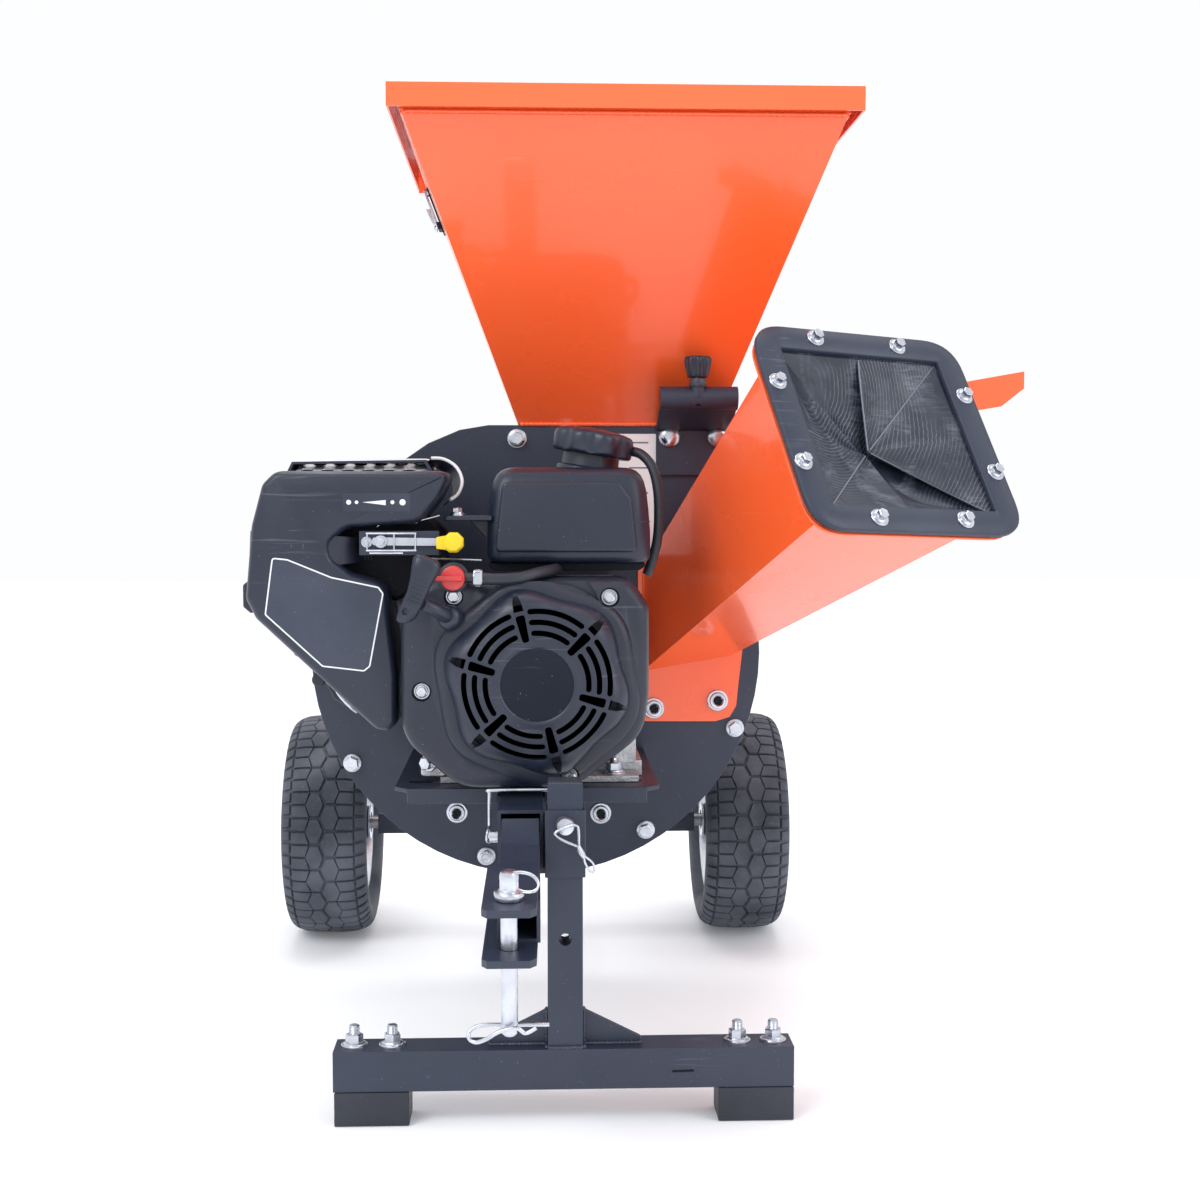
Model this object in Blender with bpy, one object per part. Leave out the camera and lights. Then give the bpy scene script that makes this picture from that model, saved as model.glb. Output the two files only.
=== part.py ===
"""Wood chipper: every separate piece as its own solid, in metres, +Z up, front towards -Y."""
import math

import bmesh
import bpy
from mathutils import Matrix, Vector

# ---------------------------------------------------------------- driving dimensions
SHIFT_X, SHIFT_Y = -0.1035, 0.0554      # moves the middle of the bounding box to the origin
GAP = 0.0003                            # clearance between neighbouring solids

CRANK_Z = 0.372                         # height of the crankshaft and rotor axis
HOUSING_R = 0.237                       # round part of the housing side plates
HOUSING_TOP = 0.612                     # flat top edge of the housing
HOUSING_DEPTH = 0.115                   # front face of front plate to rear face of rear plate
PLATE_T = 0.005                         # housing side plates
SHOULDER_X = 0.210                      # right edge of the square shoulder

WHEEL_R, WHEEL_Y, WHEEL_X = 0.1335, 0.296, 0.250
TYRE_W = 0.100
RIM_R = 0.092
AXLE_R = 0.0078

HOPPER_SEAM_Z = 0.736                   # joint between the lower throat and the upper hopper
LIP_Z0, LIP_Z1 = 0.891, 0.913
SHEET = 0.002
THROAT = dict(x0=-0.018, x1=0.188, y0=0.0005, y1=0.130, z=0.6125)
KNOB_Y = -0.062
MOUTH = dict(x0=-0.123, x1=0.290, y0=-0.195, y1=0.203, z=LIP_Z0)
LIP = dict(x0=-0.136, x1=0.303, y0=-0.210, y1=0.217)

CHUTE_C = Vector((0.3145, -0.2697, 0.5972))     # middle of the chipper chute mouth
CHUTE_N = Vector((0.3503, -0.7520, 0.5584)).normalized()
CHUTE_U = Vector((0.9162, 0.3990, -0.0373)).normalized()
CHUTE_HALF = (0.0866, 0.0844)
CHUTE_BASE = ((0.115, 0.459), (0.203, 0.484), (0.203, 0.371), (0.115, 0.355))

TOW_PIVOT = (-0.324, 0.214)             # Y, Z of the receiver mouth, where the tow bar rests
TOW_DROOP = math.radians(5.5)
HITCH_X = -0.0217
LOCK_Y, LOCK_Z = -0.311, 0.2405         # axis of the pin that holds the tow bar

STAND_X, STAND_Y = 0.0235, -0.3345
PAD_H = 0.029
BAR_SIDE = 0.035
POST_SIDE = 0.030

MATERIALS = {
    "orange_paint": ((0.90, 0.13, 0.02), 0.25, 0.0),
    "black_coat": ((0.020, 0.021, 0.024), 0.55, 0.0),
    "black_plastic": ((0.015, 0.015, 0.017), 0.45, 0.0),
    "black_rubber": ((0.012, 0.012, 0.012), 0.75, 0.0),
    "zinc": ((0.62, 0.64, 0.66), 0.30, 1.0),
    "steel": ((0.42, 0.42, 0.43), 0.35, 1.0),
    "aluminium": ((0.70, 0.70, 0.71), 0.40, 1.0),
    "silver_paint": ((0.60, 0.61, 0.62), 0.35, 0.6),
    "red_plastic": ((0.70, 0.06, 0.05), 0.45, 0.0),
    "yellow_plastic": ((0.85, 0.62, 0.02), 0.40, 0.0),
    "white_ceramic": ((0.85, 0.85, 0.82), 0.30, 0.0),
}


# ---------------------------------------------------------------- scene and small helpers
def clear_scene():
    for obj in list(bpy.data.objects):
        bpy.data.objects.remove(obj, do_unlink=True)


def material(name):
    if name in bpy.data.materials:
        return bpy.data.materials[name]
    colour, roughness, metallic = MATERIALS[name]
    made = bpy.data.materials.new(name)
    made.use_nodes = True
    shader = made.node_tree.nodes["Principled BSDF"]
    shader.inputs["Base Color"].default_value = (*colour, 1.0)
    shader.inputs["Roughness"].default_value = roughness
    shader.inputs["Metallic"].default_value = metallic
    made.diffuse_color = (*colour, 1.0)
    return made


def make_root():
    root = bpy.data.objects.new("machine", None)
    root.location = (SHIFT_X, SHIFT_Y, 0.0)
    bpy.context.scene.collection.objects.link(root)
    return root


clear_scene()
ROOT = make_root()


class Solid:
    """A closed mesh in design coordinates, with Booleans applied as modifiers."""

    def __init__(self, bm):
        bmesh.ops.recalc_face_normals(bm, faces=bm.faces)
        self.bm = bm
        self.steps = []

    def moved(self, matrix):
        bmesh.ops.transform(self.bm, matrix=matrix, verts=self.bm.verts)
        for _, other in self.steps:
            other.moved(matrix)
        return self

    def add(self, *others):
        self.steps += [("UNION", other) for other in others]
        return self

    def cut(self, *others):
        self.steps += [("DIFFERENCE", other) for other in others]
        return self

    def keep(self, other):
        self.steps.append(("INTERSECT", other))
        return self


def link(name, solid, pivot):
    mesh = bpy.data.meshes.new(name)
    bmesh.ops.translate(solid.bm, verts=solid.bm.verts, vec=-pivot)
    solid.bm.to_mesh(mesh)
    solid.bm.free()
    obj = bpy.data.objects.new(name, mesh)
    obj.location = pivot
    obj.parent = ROOT
    bpy.context.scene.collection.objects.link(obj)
    for index, (operation, other) in enumerate(solid.steps):
        helper = link(f"{name}-step{index}", other, pivot.copy())
        helper.hide_render = True
        helper.display_type = "WIRE"
        step = obj.modifiers.new(f"step{index}", "BOOLEAN")
        step.operation = operation
        step.object = helper
        step.solver = "EXACT"
    return obj


def node(name, solid, look, pivot=(0.0, 0.0, 0.0)):
    """Names a finished solid. pivot is a point on the axis of a piece that moves."""
    obj = link(name, solid, Vector(pivot))
    obj.data.materials.append(material(look))
    return obj


def prism(points, a, b, axis="y"):
    """Extrudes an outline along one axis. The outline holds the two other coordinates in order."""
    order = {"x": (2, 0, 1), "y": (0, 2, 1), "z": (0, 1, 2)}[axis]
    bm = bmesh.new()
    rings = []
    for depth in (a, b):
        ring = []
        for first, second in points:
            raw = (first, second, depth)
            ring.append(bm.verts.new([raw[index] for index in order]))
        rings.append(ring)
    bm.faces.new(rings[0])
    bm.faces.new(list(reversed(rings[1])))
    count = len(points)
    for i in range(count):
        j = (i + 1) % count
        bm.faces.new((rings[0][j], rings[0][i], rings[1][i], rings[1][j]))
    return Solid(bm)


def box(x0, x1, y0, y1, z0, z1):
    return prism([(x0, y0), (x1, y0), (x1, y1), (x0, y1)], z0, z1, "z")


def loft(first, second):
    """A closed solid between two loops of 3-D points."""
    bm = bmesh.new()
    rings = [[bm.verts.new(point) for point in loop] for loop in (first, second)]
    bm.faces.new(rings[0])
    bm.faces.new(list(reversed(rings[1])))
    count = len(first)
    for i in range(count):
        j = (i + 1) % count
        bm.faces.new((rings[0][j], rings[0][i], rings[1][i], rings[1][j]))
    return Solid(bm)


def frame_along(direction):
    return Vector(direction).to_track_quat("Z", "Y").to_matrix().to_4x4()


def turned(profile, base, direction, steps=32, start=0.0):
    """Revolves (radius, height) points, given from bottom to top, about an axis."""
    bm = bmesh.new()
    rings = []
    for radius, height in profile:
        if radius == 0.0:
            rings.append([bm.verts.new((0.0, 0.0, height))])
            continue
        angles = [start + 2 * math.pi * i / steps for i in range(steps)]
        rings.append([bm.verts.new((radius * math.cos(a), radius * math.sin(a), height)) for a in angles])
    hollow = len(rings[0]) > 1 and len(rings[-1]) > 1 and profile[0] == profile[-1]
    pairs = list(zip(rings, rings[1:]))
    if hollow:
        bmesh.ops.delete(bm, geom=rings[-1], context="VERTS")
        pairs[-1] = (rings[-2], rings[0])
    for low, high in pairs:
        for i in range(steps):
            j = (i + 1) % steps
            ring = [low[i % len(low)], low[j % len(low)], high[j % len(high)], high[i % len(high)]]
            bm.faces.new(list(dict.fromkeys(ring)))
    if not hollow:
        for ring in (rings[0], rings[-1]):
            if len(ring) > 1:
                bm.faces.new(ring)
    solid = Solid(bm)
    return solid.moved(Matrix.Translation(Vector(base)) @ frame_along(direction))


def rod(start, end, radius, steps=20, turn=0.0):
    start, end = Vector(start), Vector(end)
    return turned([(radius, 0.0), (radius, (end - start).length)], start, end - start, steps, turn)


def wire(points, radius, steps=8):
    """A round bar through the points, as one closed sweep."""
    points = [Vector(point) for point in points]
    bm = bmesh.new()
    rings = []
    side = None
    for i, point in enumerate(points):
        before = points[max(i - 1, 0)]
        after = points[min(i + 1, len(points) - 1)]
        along = (after - before).normalized()
        if side is None:
            side = along.orthogonal().normalized()
        side = (side - along * side.dot(along)).normalized()
        other = along.cross(side)
        ring = []
        for k in range(steps):
            angle = 2 * math.pi * k / steps
            ring.append(bm.verts.new(point + radius * (side * math.cos(angle) + other * math.sin(angle))))
        rings.append(ring)
    for low, high in zip(rings, rings[1:]):
        for k in range(steps):
            m = (k + 1) % steps
            bm.faces.new((low[k], low[m], high[m], high[k]))
    bm.faces.new(rings[0])
    bm.faces.new(list(reversed(rings[-1])))
    return Solid(bm)


def arc(cx, cy, radius, start, end, count):
    """Points on an arc, angles in degrees."""
    step = (end - start) / (count - 1)
    angles = [math.radians(start + step * i) for i in range(count)]
    return [(cx + radius * math.cos(a), cy + radius * math.sin(a)) for a in angles]


def rounded(x0, x1, y0, y1, radius, count=4):
    return (
        arc(x1 - radius, y1 - radius, radius, 0, 90, count)
        + arc(x0 + radius, y1 - radius, radius, 90, 180, count)
        + arc(x0 + radius, y0 + radius, radius, 180, 270, count)
        + arc(x1 - radius, y0 + radius, radius, 270, 360, count)
    )


# ---------------------------------------------------------------- housing
def housing_outline(inset):
    """Round plate with a square shoulder to the right of the top, seen from the front."""
    radius = HOUSING_R - inset
    right = SHOULDER_X - inset
    top = HOUSING_TOP - inset
    end = 360 + math.degrees(math.acos(right / radius))
    points = arc(0.0, CRANK_Z, radius, 138, end, 46)
    points += [(right, top - 0.012), (right - 0.0035, top - 0.0035), (right - 0.012, top)]
    points += [(-0.050 + inset * 0.5, top), (-0.080 + inset * 0.6, top - 0.005)]
    points += [(-0.113 + inset * 0.7, top - 0.019), (-0.145 + inset * 0.7, top - 0.041)]
    return points


def build_housing():
    rear0 = HOUSING_DEPTH - PLATE_T
    front = prism(housing_outline(0.0), 0.0, PLATE_T)
    front.cut(rod((0, -0.02, CRANK_Z), (0, 0.02, CRANK_Z), 0.032, 28))
    front.cut(prism(CHUTE_BASE, -0.02, 0.02))
    node("housing_front_plate", front, "black_coat")

    shell = prism(housing_outline(0.004), PLATE_T + GAP, rear0 - GAP)
    shell.cut(prism(housing_outline(0.009), -0.02, 0.2))
    throat = THROAT
    shell.cut(box(throat["x0"] + 0.004, throat["x1"] - 0.004, 0.0125, 0.1025, 0.55, 0.70))
    shell.cut(box(0.17, 0.25, 0.0125, 0.1025, 0.500, 0.590))
    node("housing_drum", shell, "black_coat")

    rear = prism(housing_outline(0.0), rear0, HOUSING_DEPTH)
    rear.cut(rod((0, 0.09, CRANK_Z), (0, 0.13, CRANK_Z), 0.020, 24))
    node("housing_rear_plate", rear, "black_coat")

    screen = box(0.1925, 0.1965, 0.0058, 0.1092, 0.492, 0.590)
    for row in range(3):
        for column in range(3):
            y = 0.0275 + 0.0300 * column
            z = 0.5110 + 0.0300 * row
            screen.cut(rod((0.17, y, z), (0.22, y, z), 0.0110, 10))
    node("discharge_screen", screen, "steel")

    knife = prism([(0.112, 0.341), (0.200, 0.348), (0.200, 0.366), (0.112, 0.350)], 0.0053, 0.0133)
    node("bed_knife", knife, "steel")


# ---------------------------------------------------------------- rotor
def build_rotor():
    axis = (0.0, 1.0, 0.0)
    centre = (0.0, 0.0, CRANK_Z)
    disc = turned([(0.0130, 0.030), (0.165, 0.030), (0.165, 0.042), (0.030, 0.042), (0.030, 0.096),
                   (0.150, 0.096), (0.150, 0.101), (0.0130, 0.101), (0.0130, 0.030)], centre, axis, 48)
    for side in (-1, 1):
        x = 0.120 * side
        disc.add(rod((x, 0.040, CRANK_Z), (x, 0.098, CRANK_Z), 0.006, 16))
        disc.cut(box(min(0.055 * side, 0.140 * side), max(0.055 * side, 0.140 * side), 0.02, 0.05,
                     CRANK_Z - 0.020 * side - 0.007, CRANK_Z - 0.020 * side + 0.007))
    node("rotor_disc", disc, "steel", centre)
    for side, name in ((1, "chipper_knife_a"), (-1, "chipper_knife_b")):
        z = CRANK_Z + 0.004 * side
        x0, x1 = sorted((0.050 * side, 0.150 * side))
        z0, z1 = sorted((z, z + 0.050 * side))
        blade = box(x0, x1, 0.0200, 0.0297, z0, z1)
        blade.cut(box(x0 - 0.01, x1 + 0.01, 0.0100, 0.0200 + 0.006, z0 - 0.05, z0 + 0.008)
                  if side > 0 else
                  box(x0 - 0.01, x1 + 0.01, 0.0100, 0.0200 + 0.006, z1 - 0.008, z1 + 0.05))
        node(name, blade, "steel", centre)
    for side, name in ((1, "hammer_a"), (-1, "hammer_b")):
        x = 0.120 * side
        pivot = (x, 0.068, CRANK_Z)
        outline = arc(x, CRANK_Z, 0.016, 0, 180, 9)
        outline += [(x - 0.016, CRANK_Z - 0.072), (x + 0.016, CRANK_Z - 0.072)]
        hammer = prism(outline, 0.060, 0.076)
        hammer.cut(rod((x, 0.04, CRANK_Z), (x, 0.09, CRANK_Z), 0.0063, 16))
        node(name, hammer, "steel", pivot)


# ---------------------------------------------------------------- frame, axle and wheels
def build_frame():
    plate = prism([(-0.131, -0.226), (-0.119, -0.238), (0.101, -0.238), (0.113, -0.226),
                   (0.113, -GAP), (-0.131, -GAP)], 0.2662, 0.2702, "z")
    plate.add(box(-0.119, 0.101, -0.238, -0.2345, 0.2560, 0.2690))
    plate.cut(box(-0.0360, 0.0067, -0.245, -0.2300, 0.2500, 0.2661))
    for x0, x1 in ((-0.105, -0.085), (0.070, 0.098)):
        plate.cut(box(x0, x1, -0.205, -0.197, 0.24, 0.29))
    node("engine_mount_plate", plate, "black_coat")

    tube = box(-0.0345, 0.0052, -0.324, -GAP, 0.2115, 0.2659)
    tube.cut(box(-0.0315, 0.0022, -0.40, 0.05, 0.2140, 0.2630))
    tube.cut(rod((-0.10, LOCK_Y, LOCK_Z), (0.10, LOCK_Y, LOCK_Z), 0.0056, 16))
    node("tow_receiver", tube, "black_coat")

    outer, inner = 0.0173, 0.0153
    sleeve = box(STAND_X - outer, STAND_X + outer, STAND_Y - outer, STAND_Y + outer, 0.2130, 0.2710)
    sleeve.cut(box(STAND_X - inner, STAND_X + inner, STAND_Y - inner, STAND_Y + inner, 0.15, 0.30))
    sleeve.cut(rod((STAND_X, -0.40, 0.2590), (STAND_X, -0.28, 0.2590), 0.0053, 16))
    node("stand_sleeve", sleeve, "black_coat")

    beam = box(-0.196, 0.196, WHEEL_Y - 0.012, WHEEL_Y + 0.012, WHEEL_R - 0.012, WHEEL_R + 0.012)
    for x in (-0.090, 0.090):
        side = [(0.1153, 0.330), (0.1153, 0.160), (0.285, 0.123), (0.306, 0.123),
                (0.306, 0.144), (0.150, 0.330)]
        beam.add(prism(side, x - 0.003, x + 0.003, "x"))
        beam.add(box(x - 0.025, x + 0.025, 0.1153, 0.1203, 0.165, 0.335))
    beam.cut(rod((-0.3, WHEEL_Y, WHEEL_R), (0.3, WHEEL_Y, WHEEL_R), AXLE_R + GAP, 24))
    node("axle_frame", beam, "black_coat")

    axle = rod((-0.312, WHEEL_Y, WHEEL_R), (0.312, WHEEL_Y, WHEEL_R), AXLE_R, 24)
    for side in (-1, 1):
        axle.add(rod((0.2935 * side, WHEEL_Y, WHEEL_R), (0.306 * side, WHEEL_Y, WHEEL_R), 0.0135, 6))
    node("axle_shaft", axle, "zinc")


def build_wheels():
    half = TYRE_W / 2
    tread = [(RIM_R, -0.032), (RIM_R + 0.010, -0.042), (0.113, -0.0465), (0.124, -0.0450),
             (0.1300, -0.036), (0.1325, -0.022), (WHEEL_R, 0.0), (0.1325, 0.022), (0.1300, 0.036),
             (0.124, 0.0450), (0.113, 0.0465), (RIM_R + 0.010, 0.042), (RIM_R, 0.032)]
    tread = [(radius, height * half / 0.0465) for radius, height in tread]
    tread.append(tread[0])
    lip = RIM_R - GAP
    rim = [(AXLE_R + GAP, -0.042), (0.019, -0.042), (0.019, -0.006), (0.050, -0.004),
           (0.066, -0.022), (0.078, -0.027), (0.083, -0.036), (lip, -0.036), (lip, 0.036),
           (0.083, 0.036), (0.083, -0.022), (0.070, -0.018), (0.052, 0.001), (0.019, 0.001),
           (0.019, 0.042), (AXLE_R + GAP, 0.042), (AXLE_R + GAP, -0.042)]
    for side, word in ((-1, "left"), (1, "right")):
        centre = (WHEEL_X * side, WHEEL_Y, WHEEL_R)
        axis = (float(side), 0.0, 0.0)
        tyre = turned(tread, centre, axis, 40)
        node(f"tyre_{word}", tyre, "black_rubber", centre)
        node(f"wheel_rim_{word}", turned(rim, centre, axis, 28), "silver_paint", centre)


# ---------------------------------------------------------------- hopper
def hopper_ring(z, inset, ends=(THROAT, MOUTH)):
    low, high = ends
    t = (z - low["z"]) / (high["z"] - low["z"])
    x0, x1, y0, y1 = (low[k] + (high[k] - low[k]) * t for k in ("x0", "x1", "y0", "y1"))
    x0, x1, y0, y1 = x0 + inset, x1 - inset, y0 + inset, y1 - inset
    return [(x0, y0, z), (x1, y0, z), (x1, y1, z), (x0, y1, z)]


def hopper_shell(z0, z1):
    shell = loft(hopper_ring(z0, 0.0), hopper_ring(z1, 0.0))
    return shell.cut(loft(hopper_ring(z0 - 0.02, SHEET * 1.1), hopper_ring(z1 + 0.02, SHEET * 1.1)))


def rear_plane(z, offset):
    """Y of the rear wall's outer face at a height, moved by offset."""
    t = (z - THROAT["z"]) / (MOUTH["z"] - THROAT["z"])
    return THROAT["y1"] + (MOUTH["y1"] - THROAT["y1"]) * t + offset


def left_wall(z):
    """X of the left wall's outer face at a height."""
    return hopper_ring(z, 0.0)[0][0]


def rim_band():
    """Folded rim round the mouth: inner wall, top flange and outer skirt, open underneath."""
    x0, x1, y0, y1 = (LIP[k] for k in ("x0", "x1", "y0", "y1"))
    a0, a1, b0, b1 = (MOUTH[k] for k in ("x0", "x1", "y0", "y1"))
    band = box(x0, x1, y0, y1, LIP_Z0, LIP_Z1)
    groove = box(x0 + SHEET, x1 - SHEET, y0 + SHEET, y1 - SHEET, LIP_Z0 - 0.01, LIP_Z1 - SHEET)
    groove.cut(box(a0 - SHEET, a1 + SHEET, b0 - SHEET, b1 + SHEET, LIP_Z0 - 0.05, LIP_Z1 + 0.05))
    inset = 0.0006
    opening = box(a0 + inset, a1 - inset, b0 + inset, b1 - inset, LIP_Z0 - 0.05, LIP_Z1 + 0.05)
    return band.cut(groove, opening)


def build_hopper():
    node("hopper_throat", hopper_shell(THROAT["z"], HOPPER_SEAM_Z), "orange_paint")

    upper = hopper_shell(HOPPER_SEAM_Z + GAP, LIP_Z0 + 0.0015)
    upper.add(rim_band())
    z0, z1 = HOPPER_SEAM_Z - 0.03, LIP_Z1 + 0.03
    seam = [(rear_plane(z0, -0.003), z0), (MOUTH["y1"] - 0.003, LIP_Z0), (MOUTH["y1"] - 0.003, z1)]
    upper.cut(prism(seam + [(0.35, z1), (0.35, z0)], -0.3, 0.5, "x"))
    node("hopper_upper", upper, "orange_paint")

    bottom, top = hopper_ring(HOPPER_SEAM_Z + 0.001, 0.0), hopper_ring(LIP_Z0 + 0.0015, 0.0)
    front = [(p[0], p[1] - 0.0024, p[2]) for p in (bottom[3], bottom[2], top[2], top[3])]
    rear = [(p[0], p[1] - 0.0002, p[2]) for p in (bottom[3], bottom[2], top[2], top[3])]
    gate = loft(front, rear)
    edge = MOUTH["y1"] - 0.0019
    x0, x1 = LIP["x0"], LIP["x1"]
    gate.add(box(x0, x1, edge, LIP["y1"], LIP_Z1 - SHEET, LIP_Z1))
    gate.add(box(MOUTH["x0"] - 0.0010, MOUTH["x1"] + 0.0010, edge + 0.0004, edge + SHEET, LIP_Z0 - 0.0012, LIP_Z1 - 0.001))
    gate.add(box(x0, x1, LIP["y1"] - SHEET, LIP["y1"], LIP_Z0, LIP_Z1 - 0.001))
    pivot = (0.085, rear_plane(HOPPER_SEAM_Z, 0.0052), HOPPER_SEAM_Z + 0.001)
    for x in (-0.02, 0.13):
        gate.add(rod((x, pivot[1], pivot[2]), (x + 0.06, pivot[1], pivot[2]), 0.0042, 12))
        gate.add(box(x, x + 0.06, pivot[1] - 0.0064, pivot[1] - 0.0010, pivot[2] + 0.0008, pivot[2] + 0.0032))
    node("hopper_gate", gate, "orange_paint", pivot)

    low, high = left_wall(0.846), left_wall(0.886)
    hinge = (low - 0.0055, 0.1700, 0.846)
    outline = [(low - 0.0040, 0.846), (high - 0.0040, 0.886), (high - 0.0070, 0.886), (low - 0.0070, 0.846)]
    lever = prism(outline, 0.1700, 0.1840)
    outline = [(low - 0.0060, 0.850), (left_wall(0.866) - 0.0060, 0.866),
               (left_wall(0.866) - 0.0120, 0.866), (low - 0.0120, 0.850)]
    lever.add(prism(outline, 0.1780, 0.1890))
    node("hopper_latch_lever", lever, "zinc", hinge)


def build_knob():
    roll_y, roll_z = -0.056, 0.637
    outline = [(-GAP, 0.560), (-0.0045, 0.560), (-0.0045, 0.606), (-0.050, 0.6265),
               (-0.050, 0.6310), (-GAP, 0.6105)]
    bracket = prism(outline, 0.126, 0.205, "x")
    bracket.add(rod((0.126, roll_y, roll_z), (0.205, roll_y, roll_z), 0.0120, 20))
    bracket.add(rod((0.164, KNOB_Y, 0.6380), (0.164, KNOB_Y, 0.6560), 0.0070, 16))
    bracket.cut(rod((0.164, KNOB_Y, 0.6290), (0.164, KNOB_Y, 0.6900), 0.0043, 12))
    node("knob_bracket", bracket, "black_coat")
    centre = Vector((0.164, KNOB_Y, 0.0))
    outline = []
    for i in range(32):
        radius = 0.0125 + 0.0013 * math.cos(8 * 2 * math.pi * i / 32)
        outline.append((centre.x + radius * math.cos(i * math.pi / 16),
                        centre.y + radius * math.sin(i * math.pi / 16)))
    knob = prism(outline, 0.6575, 0.6790, "z")
    knob.add(rod((centre.x, centre.y, 0.6350), (centre.x, centre.y, 0.6600), 0.0040, 12))
    node("hopper_knob", knob, "black_plastic", (centre.x, centre.y, 0.668))


# ---------------------------------------------------------------- chipper chute
CHUTE_V = CHUTE_N.cross(CHUTE_U)


def on_mouth(u, v, height):
    return CHUTE_C + CHUTE_U * u + CHUTE_V * v + CHUTE_N * height


def mouth_slab(outline, low, high):
    return loft([on_mouth(u, v, low) for u, v in outline], [on_mouth(u, v, high) for u, v in outline])


def chute_core(grow, deeper, higher):
    """Tapered core of the chute, from the housing plate out to the mouth."""
    half_u, half_v = CHUTE_HALF[0] + grow, CHUTE_HALF[1] + grow
    middle_x = sum(p[0] for p in CHUTE_BASE) / 4
    middle_z = sum(p[1] for p in CHUTE_BASE) / 4
    base, mouth = [], []
    signs = ((-1, 1), (1, 1), (1, -1), (-1, -1))
    for (x, z), (su, sv) in zip(CHUTE_BASE, signs):
        outward_x = math.copysign(grow, x - middle_x)
        outward_z = math.copysign(grow, z - middle_z)
        low = Vector((x + outward_x, -0.0040, z + outward_z))
        high = on_mouth(su * half_u, sv * half_v, -0.0120)
        along = (high - low)
        base.append(low - along * deeper)
        mouth.append(high + along * higher)
    return loft(base, mouth)


def build_chute():
    body = chute_core(0.0025, 0.0, 0.0)
    flange = [(0.107, 0.2990), (0.190, 0.2985), (0.205, 0.3030), (0.212, 0.3150), (0.215, 0.345),
              (0.2190, 0.380), (0.2070, 0.480), (0.2070, 0.490), (0.107, 0.478)]
    body.add(prism(flange, -0.0043, -GAP))
    body.add(mouth_slab(rounded(-0.110, 0.110, -0.107, 0.107, 0.035, 5), -0.0140, -0.0110))
    body.cut(chute_core(0.0, 0.15, 0.15))
    node("chipper_chute", body, "orange_paint")

    opening = rounded(-CHUTE_HALF[0], CHUTE_HALF[0], -CHUTE_HALF[1], CHUTE_HALF[1], 0.010, 4)
    outer = rounded(-0.113, 0.113, -0.1095, 0.1095, 0.036, 6)
    for name, low in (("chute_flaps_inner", -0.0107), ("chute_flaps_outer", -0.0077)):
        sheet = mouth_slab(rounded(-0.108, 0.108, -0.105, 0.105, 0.034, 5), low, low + 0.0026)
        turn = 0.0 if "outer" in name else 45.0
        for angle in (45.0 + turn, 135.0 + turn):
            c, s = math.cos(math.radians(angle)), math.sin(math.radians(angle))
            reach = 0.100 if turn == 0.0 else 0.079
            corners = [(-reach, -0.0006), (reach, -0.0006), (reach, 0.0006), (-reach, 0.0006)]
            slit = [(c * a - s * b, s * a + c * b) for a, b in corners]
            sheet.cut(mouth_slab(slit, low - 0.01, low + 0.02))
        node(name, sheet, "black_rubber")
    ring = mouth_slab(outer, -0.0048, 0.0)
    ring.cut(mouth_slab(opening, -0.02, 0.02))
    node("chute_clamp_ring", ring, "black_coat")


# ---------------------------------------------------------------- discharge
def build_discharge():
    y0, y1 = 0.0090, 0.1060
    low = [(0.2103, y0, 0.4950), (0.2103, y1, 0.4950), (0.2103, y1, 0.5950), (0.2103, y0, 0.5950)]
    high = [(0.4000, y0, 0.5650), (0.4000, y1, 0.5650), (0.3812, y1, 0.6440), (0.3812, y0, 0.6440)]
    duct = loft(low, high)
    t = 0.0025
    inner_low = [(0.19, y0 + t, 0.4900), (0.19, y1 - t, 0.4900), (0.19, y1 - t, 0.5875), (0.19, y0 + t, 0.5875)]
    inner_high = [(0.42, y0 + t, 0.5755), (0.42, y1 - t, 0.5755), (0.42, y1 - t, 0.6515), (0.42, y0 + t, 0.6515)]
    duct.add(box(0.2103, 0.2133, -0.0000, 0.1150, 0.4900, 0.6000))
    leaf = [(0.3700, 0.6415), (0.3880, 0.6510), (0.3880, 0.6450), (0.3740, 0.6385)]
    for a, b in ((0.0095, 0.0300), (0.0850, 0.1055)):
        duct.add(rod((0.387, a, 0.6480), (0.387, b, 0.6480), 0.0045, 12))
        duct.add(prism(leaf, a, b))
    duct.cut(loft(inner_low, inner_high))
    duct.cut(rod((0.387, -0.02, 0.6480), (0.387, 0.14, 0.6480), 0.0023, 10))
    node("discharge_chute", duct, "orange_paint")

    pivot = (0.387, 0.0575, 0.6480)
    side = [(0.3935, 0.6478), (0.5190, 0.6700), (0.5190, 0.6520), (0.4950, 0.6330), (0.4080, 0.6180)]
    flap = prism(side, 0.0050, 0.1100)
    hollow = [(0.380, 0.6430), (0.5300, 0.6695), (0.5300, 0.5900), (0.380, 0.5900)]
    flap.cut(prism(hollow, 0.0073, 0.1077))
    flap.add(rod((0.387, 0.0315, 0.6480), (0.387, 0.0835, 0.6480), 0.0045, 12))
    flap.add(prism([(0.388, 0.6500), (0.405, 0.6495), (0.405, 0.6476), (0.388, 0.6460)], 0.0330, 0.0820))
    flap.cut(rod((0.387, -0.02, 0.6480), (0.387, 0.14, 0.6480), 0.0023, 10))
    node("discharge_deflector", flap, "orange_paint", pivot)


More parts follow.
